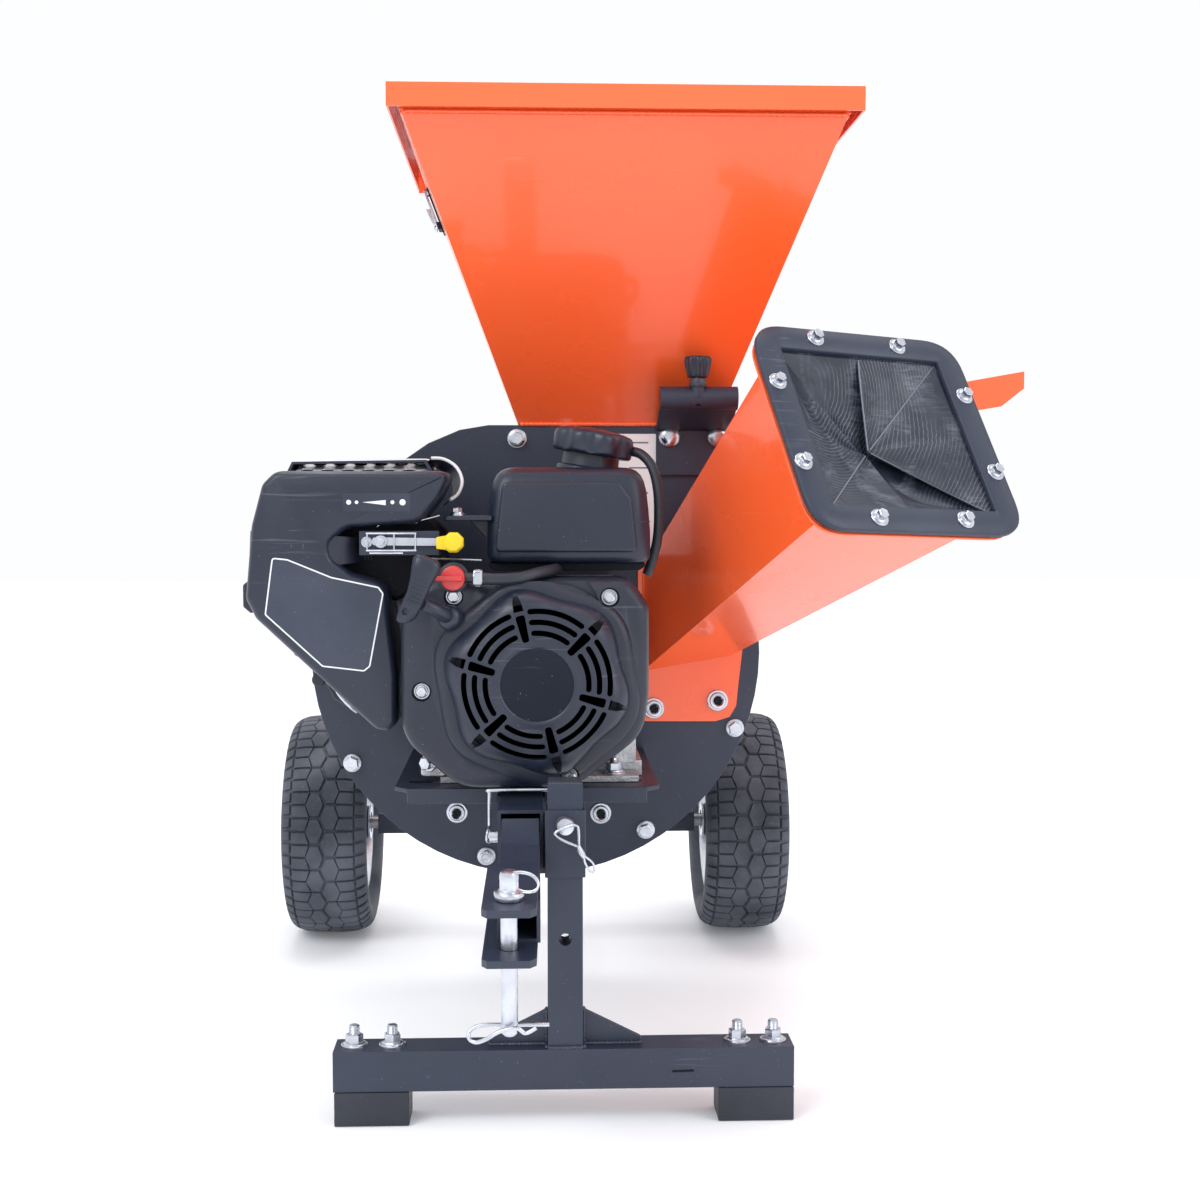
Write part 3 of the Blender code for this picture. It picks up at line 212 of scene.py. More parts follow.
MAT = {
    "orange": painted("orange_gloss", (0.96, 0.13, 0.03), 0.24),
    "coat": dark("black_powder_coat", (0.018, 0.026, 0.05), 0.4, 900.0, 0.00035),
    "plastic": dark("black_moulded", (0.011, 0.016, 0.033), 0.33, 1300.0, 0.00025, dust=0.06, scuffs=0.22),
    "shroud": dark("black_moulded_coarse", (0.009, 0.013, 0.027), 0.4, 800.0, 0.00045, dust=0.08, scuffs=0.25),
    "badge": dark("black_matt", (0.005, 0.008, 0.018), 0.5, 900.0, 0.0003, dust=0.03, scuffs=0.05, specular=0.22),
    # Near-black: the colour of dark inner parts, and painted shade where it fills slots, bores and the hollow under
    # the guard hood.
    "deep": dark("black_inside_and_painted_shade", (0.003, 0.004, 0.009), 0.55, 700.0, 0.0003, dust=0.03, scuffs=0.03, specular=0.2),
    "tyre": tyre_rubber(),
    "flap": flap_rubber(),
    "rubber": dark("rubber_hose", (0.01, 0.013, 0.022), 0.45, 600.0, 0.0004, dust=0.15, scuffs=0.1),
    "zinc": metal("bright_zinc", (0.6, 0.63, 0.7), 0.26),
    "steel": metal("bare_steel", (0.46, 0.46, 0.48), 0.34, stain=(0.2, 0.19, 0.19)),
    "alloy": metal("cast_aluminium", (0.62, 0.63, 0.66), 0.42, 420.0, 0.0012, (0.3, 0.3, 0.32), 0.55, 0.6),
    "rim": metal("silver_rim", (0.7, 0.72, 0.77), 0.3, 500.0, 0.0003, (0.5, 0.52, 0.57), 0.35, 0.25),
    "red": plain("red_moulded", (0.62, 0.045, 0.045), 0.34, 0.3),
    "yellow": plain("yellow_moulded", (0.9, 0.62, 0.015), 0.36, 0.25),
    "label": label_card(),
    "ink": plain("label_ink", (0.17, 0.18, 0.2), 0.45),
    "decal": dark("decal_gloss", (0.02, 0.027, 0.046), 0.16, 500.0, 0.0002, dust=0.35, scuffs=0.1),
    # Pale white: print on the decals, and a painted highlight on the heat shield's edge.
    "print_and_highlight_white": plain("decal_and_highlight_white", (0.72, 0.74, 0.78), 0.4),
    "guard": plain("guard_silver", (0.74, 0.76, 0.82), 0.3, 0.2, metal_share=0.35),
    # A pale rubber for lines along the chute flaps' slit edges: a painted highlight, with dust and scuffs over it.
    "flap_edge_highlight": dark("rubber_edge_painted_highlight", (0.16, 0.18, 0.22), 0.5, 600.0, 0.0003, dust=0.4, scuffs=0.6,
                      pale=(0.3, 0.32, 0.37)),
    "weld": dark("painted_weld", (0.024, 0.031, 0.052), 0.34, 300.0, 0.0012, dust=0.2, scuffs=0.2),
    "post_top": dark("worn_post_top", (0.04, 0.046, 0.062), 0.34, 500.0, 0.0006, dust=0.35, scuffs=0.8),
}


# ---- shapes
def frame_on(origin, direction, up=(0, 0, 1)):
    """A matrix whose Z lies along direction and whose Y leans towards up."""
    z = Vector(direction).normalized()
    x = Vector(up).cross(z)
    if x.length < 1e-4:
        x = Vector((1, 0, 0)).cross(z) if abs(z.x) < 0.9 else Vector((0, 1, 0)).cross(z)
    x.normalize()
    turn = Matrix((x, z.cross(x), z)).transposed().to_4x4()
    return Matrix.Translation(Vector(origin)) @ turn


def smooth_path(points, steps=8, closed=False):
    """A Catmull-Rom line through the points."""
    pts = [Vector(p) for p in points]
    n = len(pts)
    out = []
    for i in range(n if closed else n - 1):
        p = [pts[(i + k) % n] if closed else pts[min(max(i + k, 0), n - 1)] for k in (-1, 0, 1, 2)]
        for s in range(steps):
            t = s / steps
            out.append(0.5 * ((2 * p[1]) + (p[2] - p[0]) * t + (2 * p[0] - 5 * p[1] + 4 * p[2] - p[3]) * t * t
                              + (3 * p[1] - p[0] - 3 * p[2] + p[3]) * t ** 3))
    return out if closed else out + [pts[-1]]


def round_corners(points, radius, steps=5):
    """A flat outline with its corners rounded; radius is one number or one a corner."""
    out = []
    n = len(points)
    for i in range(n):
        a, b, c = Vector(points[i - 1]), Vector(points[i]), Vector(points[(i + 1) % n])
        r = radius[i] if isinstance(radius, (list, tuple)) else radius
        u, v = (a - b), (c - b)
        half = u.angle(v) / 2
        back = min(r / max(math.tan(half), 1e-4), u.length * 0.48, v.length * 0.48)
        p, q = b + u.normalized() * back, b + v.normalized() * back
        for s in range(steps + 1):
            t = s / steps
            out.append(p.lerp(b, t).lerp(b.lerp(q, t), t))
    return out


def rounded_box(x0, x1, y0, y1, radius, steps):
    """A rectangle with rounded corners."""
    return round_corners([(x0, y0), (x1, y0), (x1, y1), (x0, y1)], radius, steps)


def box_outline(u, v):
    """A rectangle round the origin, from its half sizes."""
    return [(-u, -v), (u, -v), (u, v), (-u, v)]


def polar(radius, turn, *height):
    """A flat point by radius and angle, or a point in space where a height is given."""
    return Vector((radius * math.cos(turn), radius * math.sin(turn), *height))


def circle(radius, count, start=0.0):
    """A round outline."""
    return [polar(radius, start + TAU * i / count) for i in range(count)]


def fluted(size, depth, phase, power, count):
    """A round outline with eight hollows in it."""
    return [polar(size * (1 - depth * (0.5 + 0.5 * math.cos(8 * a + phase)) ** power), a)
            for a in (TAU * k / count for k in range(count))]


def inset(outline, by):
    """A closed outline moved inwards along its own normals."""
    out = []
    n = len(outline)
    area = sum(outline[i - 1].x * outline[i].y - outline[i].x * outline[i - 1].y for i in range(n))
    sign = 1 if area > 0 else -1
    for i in range(n):
        t = (outline[(i + 1) % n] - outline[i - 1]).normalized()
        out.append(outline[i] + Vector((-t.y, t.x)) * by * sign)
    return out


class Shape:
    """Collects closed forms in one mesh, and makes one piece of them."""

    def __init__(self):
        self.bm = bmesh.new()

    def skin(self, loops, ring=False):
        """Joins loops of equal length into a closed form, capped at its ends or joined into a ring."""
        bm = self.bm
        rows = [[bm.verts.new(p) for p in loop] for loop in loops]
        n = len(rows[0])
        made = []
        pairs = list(zip(rows, rows[1:])) + ([(rows[-1], rows[0])] if ring else [])
        for a, b in pairs:
            for i in range(n):
                j = (i + 1) % n
                made.append(bm.faces.new((a[i], a[j], b[j], b[i])))
        if not ring:
            made.append(bm.faces.new(rows[0][::-1]))
            made.append(bm.faces.new(rows[-1]))
        bmesh.ops.recalc_face_normals(bm, faces=made)
        return self

    def levels(self, spec, where, ring=False):
        """Skins flat outlines at heights: spec is [(outline, height)], where places them."""
        return self.skin([[where @ Vector((p[0], p[1], h)) for p in outline] for outline, h in spec], ring)

    def tapered(self, outline, spec, where):
        """Skins one outline drawn in by a distance at each height: spec is [(by, height)]."""
        return self.levels([(inset(outline, by), h) for by, h in spec], where)

    def prism(self, outline, low, high, where=None):
        return self.levels([(outline, low), (outline, high)], where or Matrix())

    def turned(self, profile, where, count=32, ring=False):
        """Turns (radius, height) points about the Z axis of where."""
        loops = [[where @ polar(max(r, 1e-5), TAU * i / count, h) for i in range(count)] for r, h in profile]
        return self.skin(loops, ring)

    def tube(self, path, radius, count=12, ring=False):
        """Sweeps a circle along a path; radius is one number or one a point."""
        pts = [Vector(p) for p in path]
        n = len(pts)
        loops, side = [], None
        for i, p in enumerate(pts):
            before = pts[i - 1] if i or ring else p
            after = pts[(i + 1) % n] if i < n - 1 or ring else p
            along = (after - before).normalized()
            if side is None:
                side = along.orthogonal().normalized()
            side = (side - along * side.dot(along)).normalized()
            up = along.cross(side)
            r = radius[i] if isinstance(radius, (list, tuple)) else radius
            loops.append([p + side * r * math.cos(TAU * k / count) + up * r * math.sin(TAU * k / count)
                          for k in range(count)])
        return self.skin(loops, ring)

    def bent(self, points, steps, radius, count):
        """A tube along the smooth line through the points."""
        return self.tube(smooth_path(points, steps), radius, count)

    def hexagon(self, where, across, low, high):
        """A hex head, with its corners turned off at the top."""
        hexes = circle(across / math.sqrt(3), 6)
        inner = circle(across / math.sqrt(3) * 0.86, 6)
        return self.levels([(hexes, low), (hexes, high - across * 0.06), (inner, high)], where)

    def bolt(self, point, direction, across=0.013, washer=0.0115, head=0.0065, flange=False, stud=0.0):
        """A washer and a hex head; with stud, a nut with the thread standing out of it."""
        w = frame_on(point, direction)
        turn = Matrix.Rotation(RNG.uniform(0, TAU / 6), 4, "Z")
        self.turned([(washer * 0.3, 0), (washer, 0), (washer, 0.0014), (washer * 0.94, 0.0019),
                     (washer * 0.3, 0.0019)], w, 28, ring=True)
        base = 0.0019
        if flange:
            self.turned([(across * 0.3, base), (across * 0.72, base), (across * 0.7, base + 0.001),
                         (across * 0.52, base + 0.0018), (across * 0.3, base + 0.0018)], w, 28, ring=True)
            base += 0.0012
        self.hexagon(w @ turn, across, base, base + head)
        if stud:
            pitch = 0.0011
            steps = int(stud / pitch)
            r = across * 0.29
            profile = [(r * 0.5, base + head * 0.5)]
            for i in range(steps):
                h = base + head + i * pitch - 0.0004
                profile += [(r * 0.9, h), (r, h + pitch * 0.5)]
            profile += [(r * 0.8, base + head + stud), (r * 0.4, base + head + stud + 0.0004)]
            self.turned(profile, w, 16)
        else:
            self.turned([(across * 0.36, base + head - 0.0004), (across * 0.36, base + head + 0.0001),
                         (across * 0.2, base + head - 0.00005)], w, 20)
        return self

    def weld(self, start, end, size=0.0028, step=0.0035):
        """A bead of small overlapping ripples along a line."""
        a, b = Vector(start), Vector(end)
        count = max(2, int((b - a).length / step))
        path, radii = [], []
        for i in range(count * 4 + 1):
            t = i / (count * 4)
            path.append(a.lerp(b, t) + Vector((RNG.uniform(-1, 1), RNG.uniform(-1, 1), RNG.uniform(-1, 1)))
                        * size * 0.06)
            radii.append(size * (0.8 + 0.2 * abs(math.sin(math.pi * i / 4))))
        radii[0] = radii[-1] = size * 0.4
        return self.tube(path, radii, 8)

    def made(self, name, shift=SHIFT):
        """One object of what was collected, moved from the drawing frame to the row frame."""
        self.bm.transform(Matrix.Translation(shift))
        mesh = bpy.data.meshes.new(name)
        self.bm.to_mesh(mesh)
        self.bm.free()
        obj = bpy.data.objects.new(name, mesh)
        bpy.context.scene.collection.objects.link(obj)
        return obj

    def cutter(self):
        """A helper object that Booleans cut with; it is removed once it is used."""
        obj = self.made("cutter")
        obj.hide_render = True
        return obj

    def piece(self, name, look, body="base", slot=None, bevel=0.0, angle=35, replaces=(), cut=None):
        """One piece of the model, on its body, with its look's material in its slot; the slot argument is not used.
        """
        obj = self.made(name)
        mesh = obj.data
        mesh.materials.append(MAT[look])
        mesh.polygons.foreach_set("use_smooth", [True] * len(mesh.polygons))
        if cut:
            add = obj.modifiers.new("cut", "BOOLEAN")
            add.object, add.operation, add.solver = cut, "DIFFERENCE", "EXACT"
            add.use_self = True
        if bevel:
            add = obj.modifiers.new("bevel", "BEVEL")
            add.width, add.segments, add.limit_method = bevel, 2, "ANGLE"
            add.angle_limit = math.radians(angle)
            add.harden_normals = True
        else:
            mesh.set_sharp_from_angle(angle=math.radians(angle))
        if cut:
            apply_modifiers(obj)
            bpy.data.objects.remove(cut)
        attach(obj, body)
        if replaces:
            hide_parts(*replaces)
        return obj


def apply_modifiers(obj):
    """Sets the modifiers' result as the mesh."""
    graph = bpy.context.evaluated_depsgraph_get()
    mesh = bpy.data.meshes.new_from_object(obj.evaluated_get(graph), preserve_all_data_layers=True,
                                           depsgraph=graph)
    obj.modifiers.clear()
    obj.data = mesh


FRONT = Matrix.Rotation(math.pi / 2, 4, "X")   # stands an (x, z) outline up; its heights run towards the viewer


def facing(x, z, height=0.0):
    """The upright plane facing the viewer, with its middle at (x, z)."""
    return FRONT @ Matrix.Translation((x, z, height))


AT_CRANK = facing(0, CRANK_Z)


# ---- CAD nodes that stay
def dress(look, names, bevel, merge=True):
    """Gives CAD nodes their finish and softened edges; merge joins flat faces, which a thin rim can't take."""
    for name in names.split():
        obj = NODES[name]
        obj.data.materials.clear()
        obj.data.materials.append(MAT[look])
        if "custom_normal" in obj.data.attributes:
            obj.data.attributes.remove(obj.data.attributes["custom_normal"])
        obj.data.polygons.foreach_set("use_smooth", [True] * len(obj.data.polygons))
        weld = obj.modifiers.new("weld", "WELD")
        weld.merge_threshold = 0.00002
        if merge:
            flat = obj.modifiers.new("flat", "DECIMATE")
            flat.decimate_type, flat.angle_limit = "DISSOLVE", math.radians(0.6)
        edge = obj.modifiers.new("edge", "BEVEL")
        edge.width, edge.segments, edge.limit_method = bevel, 2, "ANGLE"
        edge.angle_limit, edge.harden_normals = math.radians(28), True


dress("orange", "hopper_throat hopper_gate chipper_chute discharge_chute", 0.0005)
dress("orange", "hopper_upper discharge_deflector", 0.0005, merge=False)
dress("coat", "housing_front_plate housing_drum housing_rear_plate axle_frame engine_mount_plate knob_bracket "
      "tow_receiver stand_sleeve stand_frame tow_bar chute_clamp_ring", 0.0008)
dress("steel", "axle_shaft bed_knife discharge_screen rotor_disc chipper_knife_a chipper_knife_b "
      "hammer_a hammer_b crankshaft muffler", 0.0004)
dress("alloy", "crankcase cylinder_head carburetor fan_flywheel", 0.001)
dress("rubber", "foot_pad_left foot_pad_right spark_plug", 0.001)
for look, name, bevel in (("plastic", "oil_dipstick", 0.0004), ("zinc", "tow_lock_pin", 0.0004),
                          ("coat", "throttle_bracket", 0.0004), ("coat", "muffler_guard", 0.0005),
                          ("zinc", "hopper_latch_lever", 0.0006)):
    dress(look, name, bevel)


# ---- wheels
TREAD_R = 0.1335
TYRE_POINTS = [(0.0, TREAD_R), (0.0237, 0.1326), (0.0365, 0.1302), (0.0462, 0.124), (0.0498, 0.113),
               (0.047, 0.101), (0.038, 0.0935)]
PITCHES = 27      # tread blocks around
GROOVE = 0.003
HUB_BOLTS, HUB_BOLT_R = 5, 0.0345


def crown_table():
    """The tread's section from its middle outwards: (length along it, x, radius, normal x, normal radius)."""
    line = smooth_path([(x, r, 0) for x, r in TYRE_POINTS], 10)
    out, along = [], 0.0
    for i, p in enumerate(line):
        if i:
            along += (p - line[i - 1]).length
        after, before = line[min(i + 1, len(line) - 1)], line[max(i - 1, 0)]
        t = (after - before).normalized()
        out.append((along, p.x, p.y, -t.y, t.x))
    return out


CROWN = crown_table()


def on_tyre(where, turn, s, height):
    """A point on the tread: turn about the axle, s across from the middle, height above the surface."""
    sign, s = (-1 if s < 0 else 1), abs(s)
    for a, b in zip(CROWN, CROWN[1:]):
        if s <= b[0] or b is CROWN[-1]:
            t = min(1.0, (s - a[0]) / max(b[0] - a[0], 1e-9))
            x, r, nx, nr = (a[k] + (b[k] - a[k]) * t for k in (1, 2, 3, 4))
            break
    x, r = x + nx * height, r + nr * height
    return where @ polar(r, turn, sign * x)


def tread_block(shape, where, centre, outline):
    """One rubber block; centre and outline are (turn as length, s) on the tread."""
    at = [Vector(p) for p in outline]
    fine = []
    for a, b in zip(at, at[1:] + at[:1]):
        cuts = max(1, round((b - a).length / 0.006))
        fine += [a.lerp(b, k / cuts) for k in range(cuts)]
    shape.skin([[on_tyre(where, (centre[0] + p.x * grow) / TREAD_R, centre[1] + p.y * grow, height) for p in fine]
                for grow, height in ((1.06, -GROOVE - 0.0006), (1.0, -0.0007), (0.93, 0.0), (0.45, 0.0))])


def carcass():
    """The (x, radius) of the groove floors from the tyre's middle outwards."""
    out = []
    for along, x, r, nx, nr in CROWN[::3] + [CROWN[-1]]:
        depth = GROOVE * (1.0 if along < 0.048 else max(0.0, 1 - (along - 0.048) / 0.008))
        out.append((x - nx * depth, r - nr * depth))
    return out


def build_wheel(side, word):
    """Tyre with its tread, dished rim, hub, hub bolts and valve stem."""
    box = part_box(f"tyre_{word}")
    middle = (box[0] + box[1]) / 2 - SHIFT
    where = frame_on(middle, (side, 0, 0))
    tyre = Shape()
    half = carcass()
    bead = [(0.0922, 0.036), (0.0925, 0.02), (0.0925, -0.02), (0.0922, -0.036)]
    tyre.turned([(r, -x) for x, r in reversed(half)] + [(r, x) for x, r in half[1:]] + bead, where, 108, ring=True)
    pitch = TAU * TREAD_R / PITCHES
    hexed = [(-0.0136, -0.005), (-0.0136, 0.005), (0.0, 0.0104), (0.0136, 0.005), (0.0136, -0.005), (0.0, -0.0104)]
    lug = [(-0.0052, -0.0078), (-0.0062, 0.008), (0.0046, 0.008), (0.0056, -0.0078)]
    for i in range(PITCHES):
        for sign, phase in ((-1, 0.0), (1, 0.5)):
            turn = (i + phase) * pitch
            tread_block(tyre, where, (turn, sign * 0.009), hexed)
            for k in (-1, 1):
                # The side row fits the points of the hexagons and is cut in two by a sipe.
                quarter = [(-0.0066, -0.0078 * sign), (-0.0066, 0.0092 * sign), (0.0066, 0.0092 * sign),
                           (0.0066, -0.0078 * sign)]
                inner = 0 if k > 0 else 3
                quarter[inner] = (quarter[inner][0], quarter[0][1] - 0.0048 * sign * 0.9)
                tread_block(tyre, where, (turn + pitch / 2 + k * pitch / 4, sign * 0.0272), quarter)
                tread_block(tyre, where, (turn + (k + 0.35) * pitch / 4, sign * 0.0465), lug)
    tyre.piece(f"tyre_{word}_tread", "tyre", f"wheel_{word}", angle=42, replaces=[f"tyre_{word}"])

    rim = Shape()
    dish = [(0.048, -0.0035), (0.056, -0.0065), (0.064, -0.015), (0.072, -0.0215), (0.0785, -0.024),
            (0.0812, -0.029), (0.0826, -0.035), (0.0855, -0.0385), (0.0895, -0.0385), (0.0916, -0.0355),
            (0.0916, 0.0355), (0.0895, 0.0385), (0.0855, 0.0385), (0.0826, 0.035), (0.0812, 0.028),
            (0.0806, -0.013), (0.078, -0.0195), (0.072, -0.018), (0.065, -0.012), (0.057, -0.003),
            (0.048, 0.0005), (0.019, 0.0005), (0.019, -0.0035)]
    rim.turned(dish, where, 72, ring=True)
    rim.piece(f"rim_{word}_dish", "rim", f"wheel_{word}", angle=50, replaces=[f"wheel_rim_{word}"])
    hub = Shape()
    hub.turned([(0.0128, -0.042), (0.0185, -0.042), (0.02, -0.0405), (0.02, -0.01), (0.03, -0.007),
                (0.042, -0.005), (0.0435, -0.0036), (0.0192, -0.0036), (0.0192, 0.0006), (0.042, 0.0006),
                (0.042, 0.004), (0.028, 0.0062), (0.02, 0.01), (0.02, 0.0405), (0.0185, 0.042),
                (0.0128, 0.042)], where, 40, ring=True)
    hub.piece(f"hub_{word}", "coat", f"wheel_{word}", angle=40)
    trim = Shape()
    for k in range(HUB_BOLTS):
        a = TAU * k / HUB_BOLTS + 0.3
        for depth, way, stud in ((-0.0062, -side, 0.0), (0.0046, side, 0.003)):
            trim.bolt(where @ polar(HUB_BOLT_R, a, depth), (way, 0, 0), 0.0095, 0.0068, 0.0048, stud=stud)
    trim.turned([(0.0126, -0.0445), (0.0205, -0.0445), (0.0205, -0.0424), (0.0126, -0.0424)], where, 32, ring=True)
    trim.piece(f"hub_bolts_{word}", "zinc", f"wheel_{word}", angle=35)
    stem = Shape()
    foot = where @ Vector((0.05, 0.052, -0.015))
    tip = foot + Vector((side * 0.034, 0, 0)) + (where.to_3x3() @ Vector((-0.004, -0.004, 0)))
    stem.tube([foot, foot.lerp(tip, 0.5), foot.lerp(tip, 0.52), tip], [0.0042, 0.0036, 0.0026, 0.0026], 14)
    stem.piece(f"valve_stem_{word}", "rubber", f"wheel_{word}", angle=40)


for side, word in ((-1, "left"), (1, "right")):
    build_wheel(side, word)


# ---- recoil cover and shroud
SHROUD = [(0.101, 0.4395), (0.101, 0.358), (0.096, 0.322), (0.034, 0.2745), (-0.07, 0.2745),
          (-0.122, 0.32), (-0.122, 0.44), (-0.1, 0.464), (0.084, 0.464)]
SHROUD_ROUND = [0.02, 0.06, 0.06, 0.045, 0.05, 0.045, 0.03, 0.03, 0.022]
SHROUD_BOLTS = [(0.065, 0.447), (-0.103, 0.363), (0.029, 0.286), (-0.074, 0.448)]
SPOKES = [math.radians(104 - 60 * i) for i in range(6)]
COVER_BACK = 0.2723   # how far the recoil cover's edge stands in front of the housing


def lobe(turn):
    """The sixfold wave of the cover's edge: 1 at the spokes and -1 between them."""
    return math.cos(6 * (turn - SPOKES[0]))


def arc_slot(radius, middle, half, width):
    """A curved slot with half-round ends."""
    turns = [middle + math.radians(half) * (k / 8 - 1) for k in range(17)]
    out = [polar(radius + width, a) for a in turns] + cap_arc(radius, turns[-1], width, 0.0)
    return out + [polar(radius - width, a) for a in reversed(turns)] + cap_arc(radius, turns[0], width, math.pi)


def cap_arc(radius, turn, half, start):
    """A half-round end of an arc slot."""
    return [polar(radius, turn) + polar(half, turn + start + math.pi * k / 5) for k in range(1, 5)]


def recoil():
    """The recoil cover with its slots, its blank badge and the pulley behind it."""
    slots = Shape()
    for a in SPOKES:
        turn = AT_CRANK @ Matrix.Rotation(a, 4, "Z")
        slots.prism(round_corners([(0.0385, -0.003), (0.0625, -0.0043), (0.0625, 0.0043), (0.0385, 0.003)],
                                  0.0026, 4), 0.25, 0.33, turn)
        slots.prism([(0.066, -0.0044), (0.0735, -0.004), (0.085, -0.0006), (0.085, 0.0006), (0.0735, 0.004),
                     (0.066, 0.0044)], 0.284, 0.33, turn)
        for radius, half in ((0.0455, 19.5), (0.055, 21.0), (0.0645, 21.5)):
            slots.prism(arc_slot(radius, a - math.radians(30), half, 0.0024), 0.25, 0.33, AT_CRANK)

    cover = Shape()
    top, low = [], []
    for t, h in ((0.0, 0.0262), (0.36, 0.0262), (0.376, 0.0268), (0.392, 0.0282), (0.408, 0.0282), (0.424, 0.0274),
                 (0.6, 0.0258), (0.8, 0.0222), (0.88, 0.019), (0.94, 0.013), (0.975, 0.006), (1.0, 0.0)):
        loop, under = [], []
        blend = max(0.0, (t - 0.45) / 0.55) ** 1.2
        ripple = 0.0018 * math.sin(math.pi * min(1.0, max(0.0, (t - 0.55) / 0.45)))
        for k in range(144):
            a = TAU * k / 144
            r = max(t, 0.002) * (0.0865 * (1 - blend) + (0.0822 + 0.0043 * lobe(a)) * blend)
            height = COVER_BACK + h + ripple * lobe(a)
            loop.append(AT_CRANK @ polar(r, a, height))
            under.append(AT_CRANK @ polar(max(r - 0.0022, 0.0005), a, height - (0.0026 if t < 0.97 else 0.0)))
        top.append(loop)
        low.append(under)
    cover.skin(low + top[::-1])
    cover.piece("recoil_cover_moulding", "plastic", angle=50, replaces=["recoil_cover"], cut=slots.cutter())

    badge = Shape()
    badge.turned([(0.0, 0.0266), (0.03, 0.0266), (0.0318, 0.027), (0.0326, 0.0266), (0.0326, 0.024), (0.0, 0.024)],
                 AT_CRANK @ Matrix.Translation((0, 0, COVER_BACK)), 72)
    badge.piece("recoil_badge_blank", "badge", angle=40)
    hub = Shape()
    hub.turned([(0.0, 0.0), (0.07, 0.0), (0.07, 0.003), (0.03, 0.003), (0.03, 0.0095), (0.0, 0.0095)],
               AT_CRANK @ Matrix.Translation((0, 0, 0.264)), 48)
    hub.piece("recoil_pulley", "deep", angle=40)


def waved(radius, wave):
    """A round outline with a sixfold wave, set a little behind the cover's."""
    turns = [TAU * k / 96 for k in range(96)]
    return [polar(radius + wave * math.cos(6 * (a - SPOKES[0]) + 0.5), a) for a in turns]


def shroud():
    """The blower shroud round the recoil cover, with its bolts and the ribs of its slot."""
    body = Shape()
    body.tapered(round_corners(SHROUD, SHROUD_ROUND, 7),
                 ((0.0, 0.2146), (0.0, 0.256), (0.0008, 0.262), (0.003, 0.267), (0.0068, 0.2702), (0.012, 0.2712)),
                 FRONT)
    body.levels([(waved(radius, wave), h) for radius, wave,
        h in ((0.0925, 0.0028, 0.27), (0.0915, 0.0034, 0.2728), (0.089, 0.0038, 0.2758), (0.085, 0.003, 0.2775),
        (0.08, 0.001, 0.2775))], AT_CRANK)
    holes = Shape()
    holes.turned([(0.076, 0.267), (0.076, 0.3)], AT_CRANK, 64)
    for x, z in SHROUD_BOLTS:
        holes.turned([(0.0082, 0.264), (0.01, 0.28)], facing(x, z), 28)
    holes.prism(crescent(), 0.2655, 0.285, FRONT)
    body.piece("blower_shroud_moulding", "shroud", angle=40, replaces=["blower_shroud"], cut=holes.cutter())
    bolts = Shape()
    for x, z in SHROUD_BOLTS:
        bolts.bolt((x, -0.264, z), (0, -1, 0), 0.0085, 0.0074, 0.005, flange=True)
    bolts.piece("shroud_bolts", "zinc")
    rib = Shape()
    for k in range(5):
        a = math.radians(76 - 9 * k)
        spot = Vector((0.0985 * math.cos(a) + 0.0035, -0.27, CRANK_Z + 0.0985 * math.sin(a) - 0.012))
        rib.tube([spot, spot + Vector((0.0035, 0, -0.0015))], 0.0012, 8)
    rib.piece("shroud_slot_ribs", "shroud")


def crescent():
    """The shallow curved recess above the recoil cover."""
    upper, lower = [], []
    for k in range(13):
        t = k / 12
        a = math.radians(98 - 44 * t)
        bulge = 0.0125 * math.sin(math.pi * t) ** 0.8 + 0.0006
        r = 0.0935
        upper.append((r + bulge, a))
        lower.append((r, a))
    return [polar(r, a) + Vector((0, CRANK_Z - 0.0035)) for r, a in upper + lower[::-1]]


recoil()
shroud()

# ---- air cleaner cover
COVER = [(-0.234, 0.56), (-0.076, 0.56), (-0.088, 0.535), (-0.105, 0.513), (-0.17, 0.509),
         (-0.186, 0.495), (-0.184, 0.482), (-0.167, 0.468), (-0.136, 0.459), (-0.1265, 0.377),
         (-0.1265, 0.331), (-0.134, 0.3245), (-0.146, 0.326), (-0.253, 0.427), (-0.262, 0.445),
         (-0.256, 0.511), (-0.246, 0.548)]
COVER_ROUND = [0.016, 0.012, 0.03, 0.014, 0.018, 0.012, 0.012, 0.016, 0.018, 0.03, 0.014, 0.01, 0.012, 0.014,
               0.014, 0.04, 0.014]


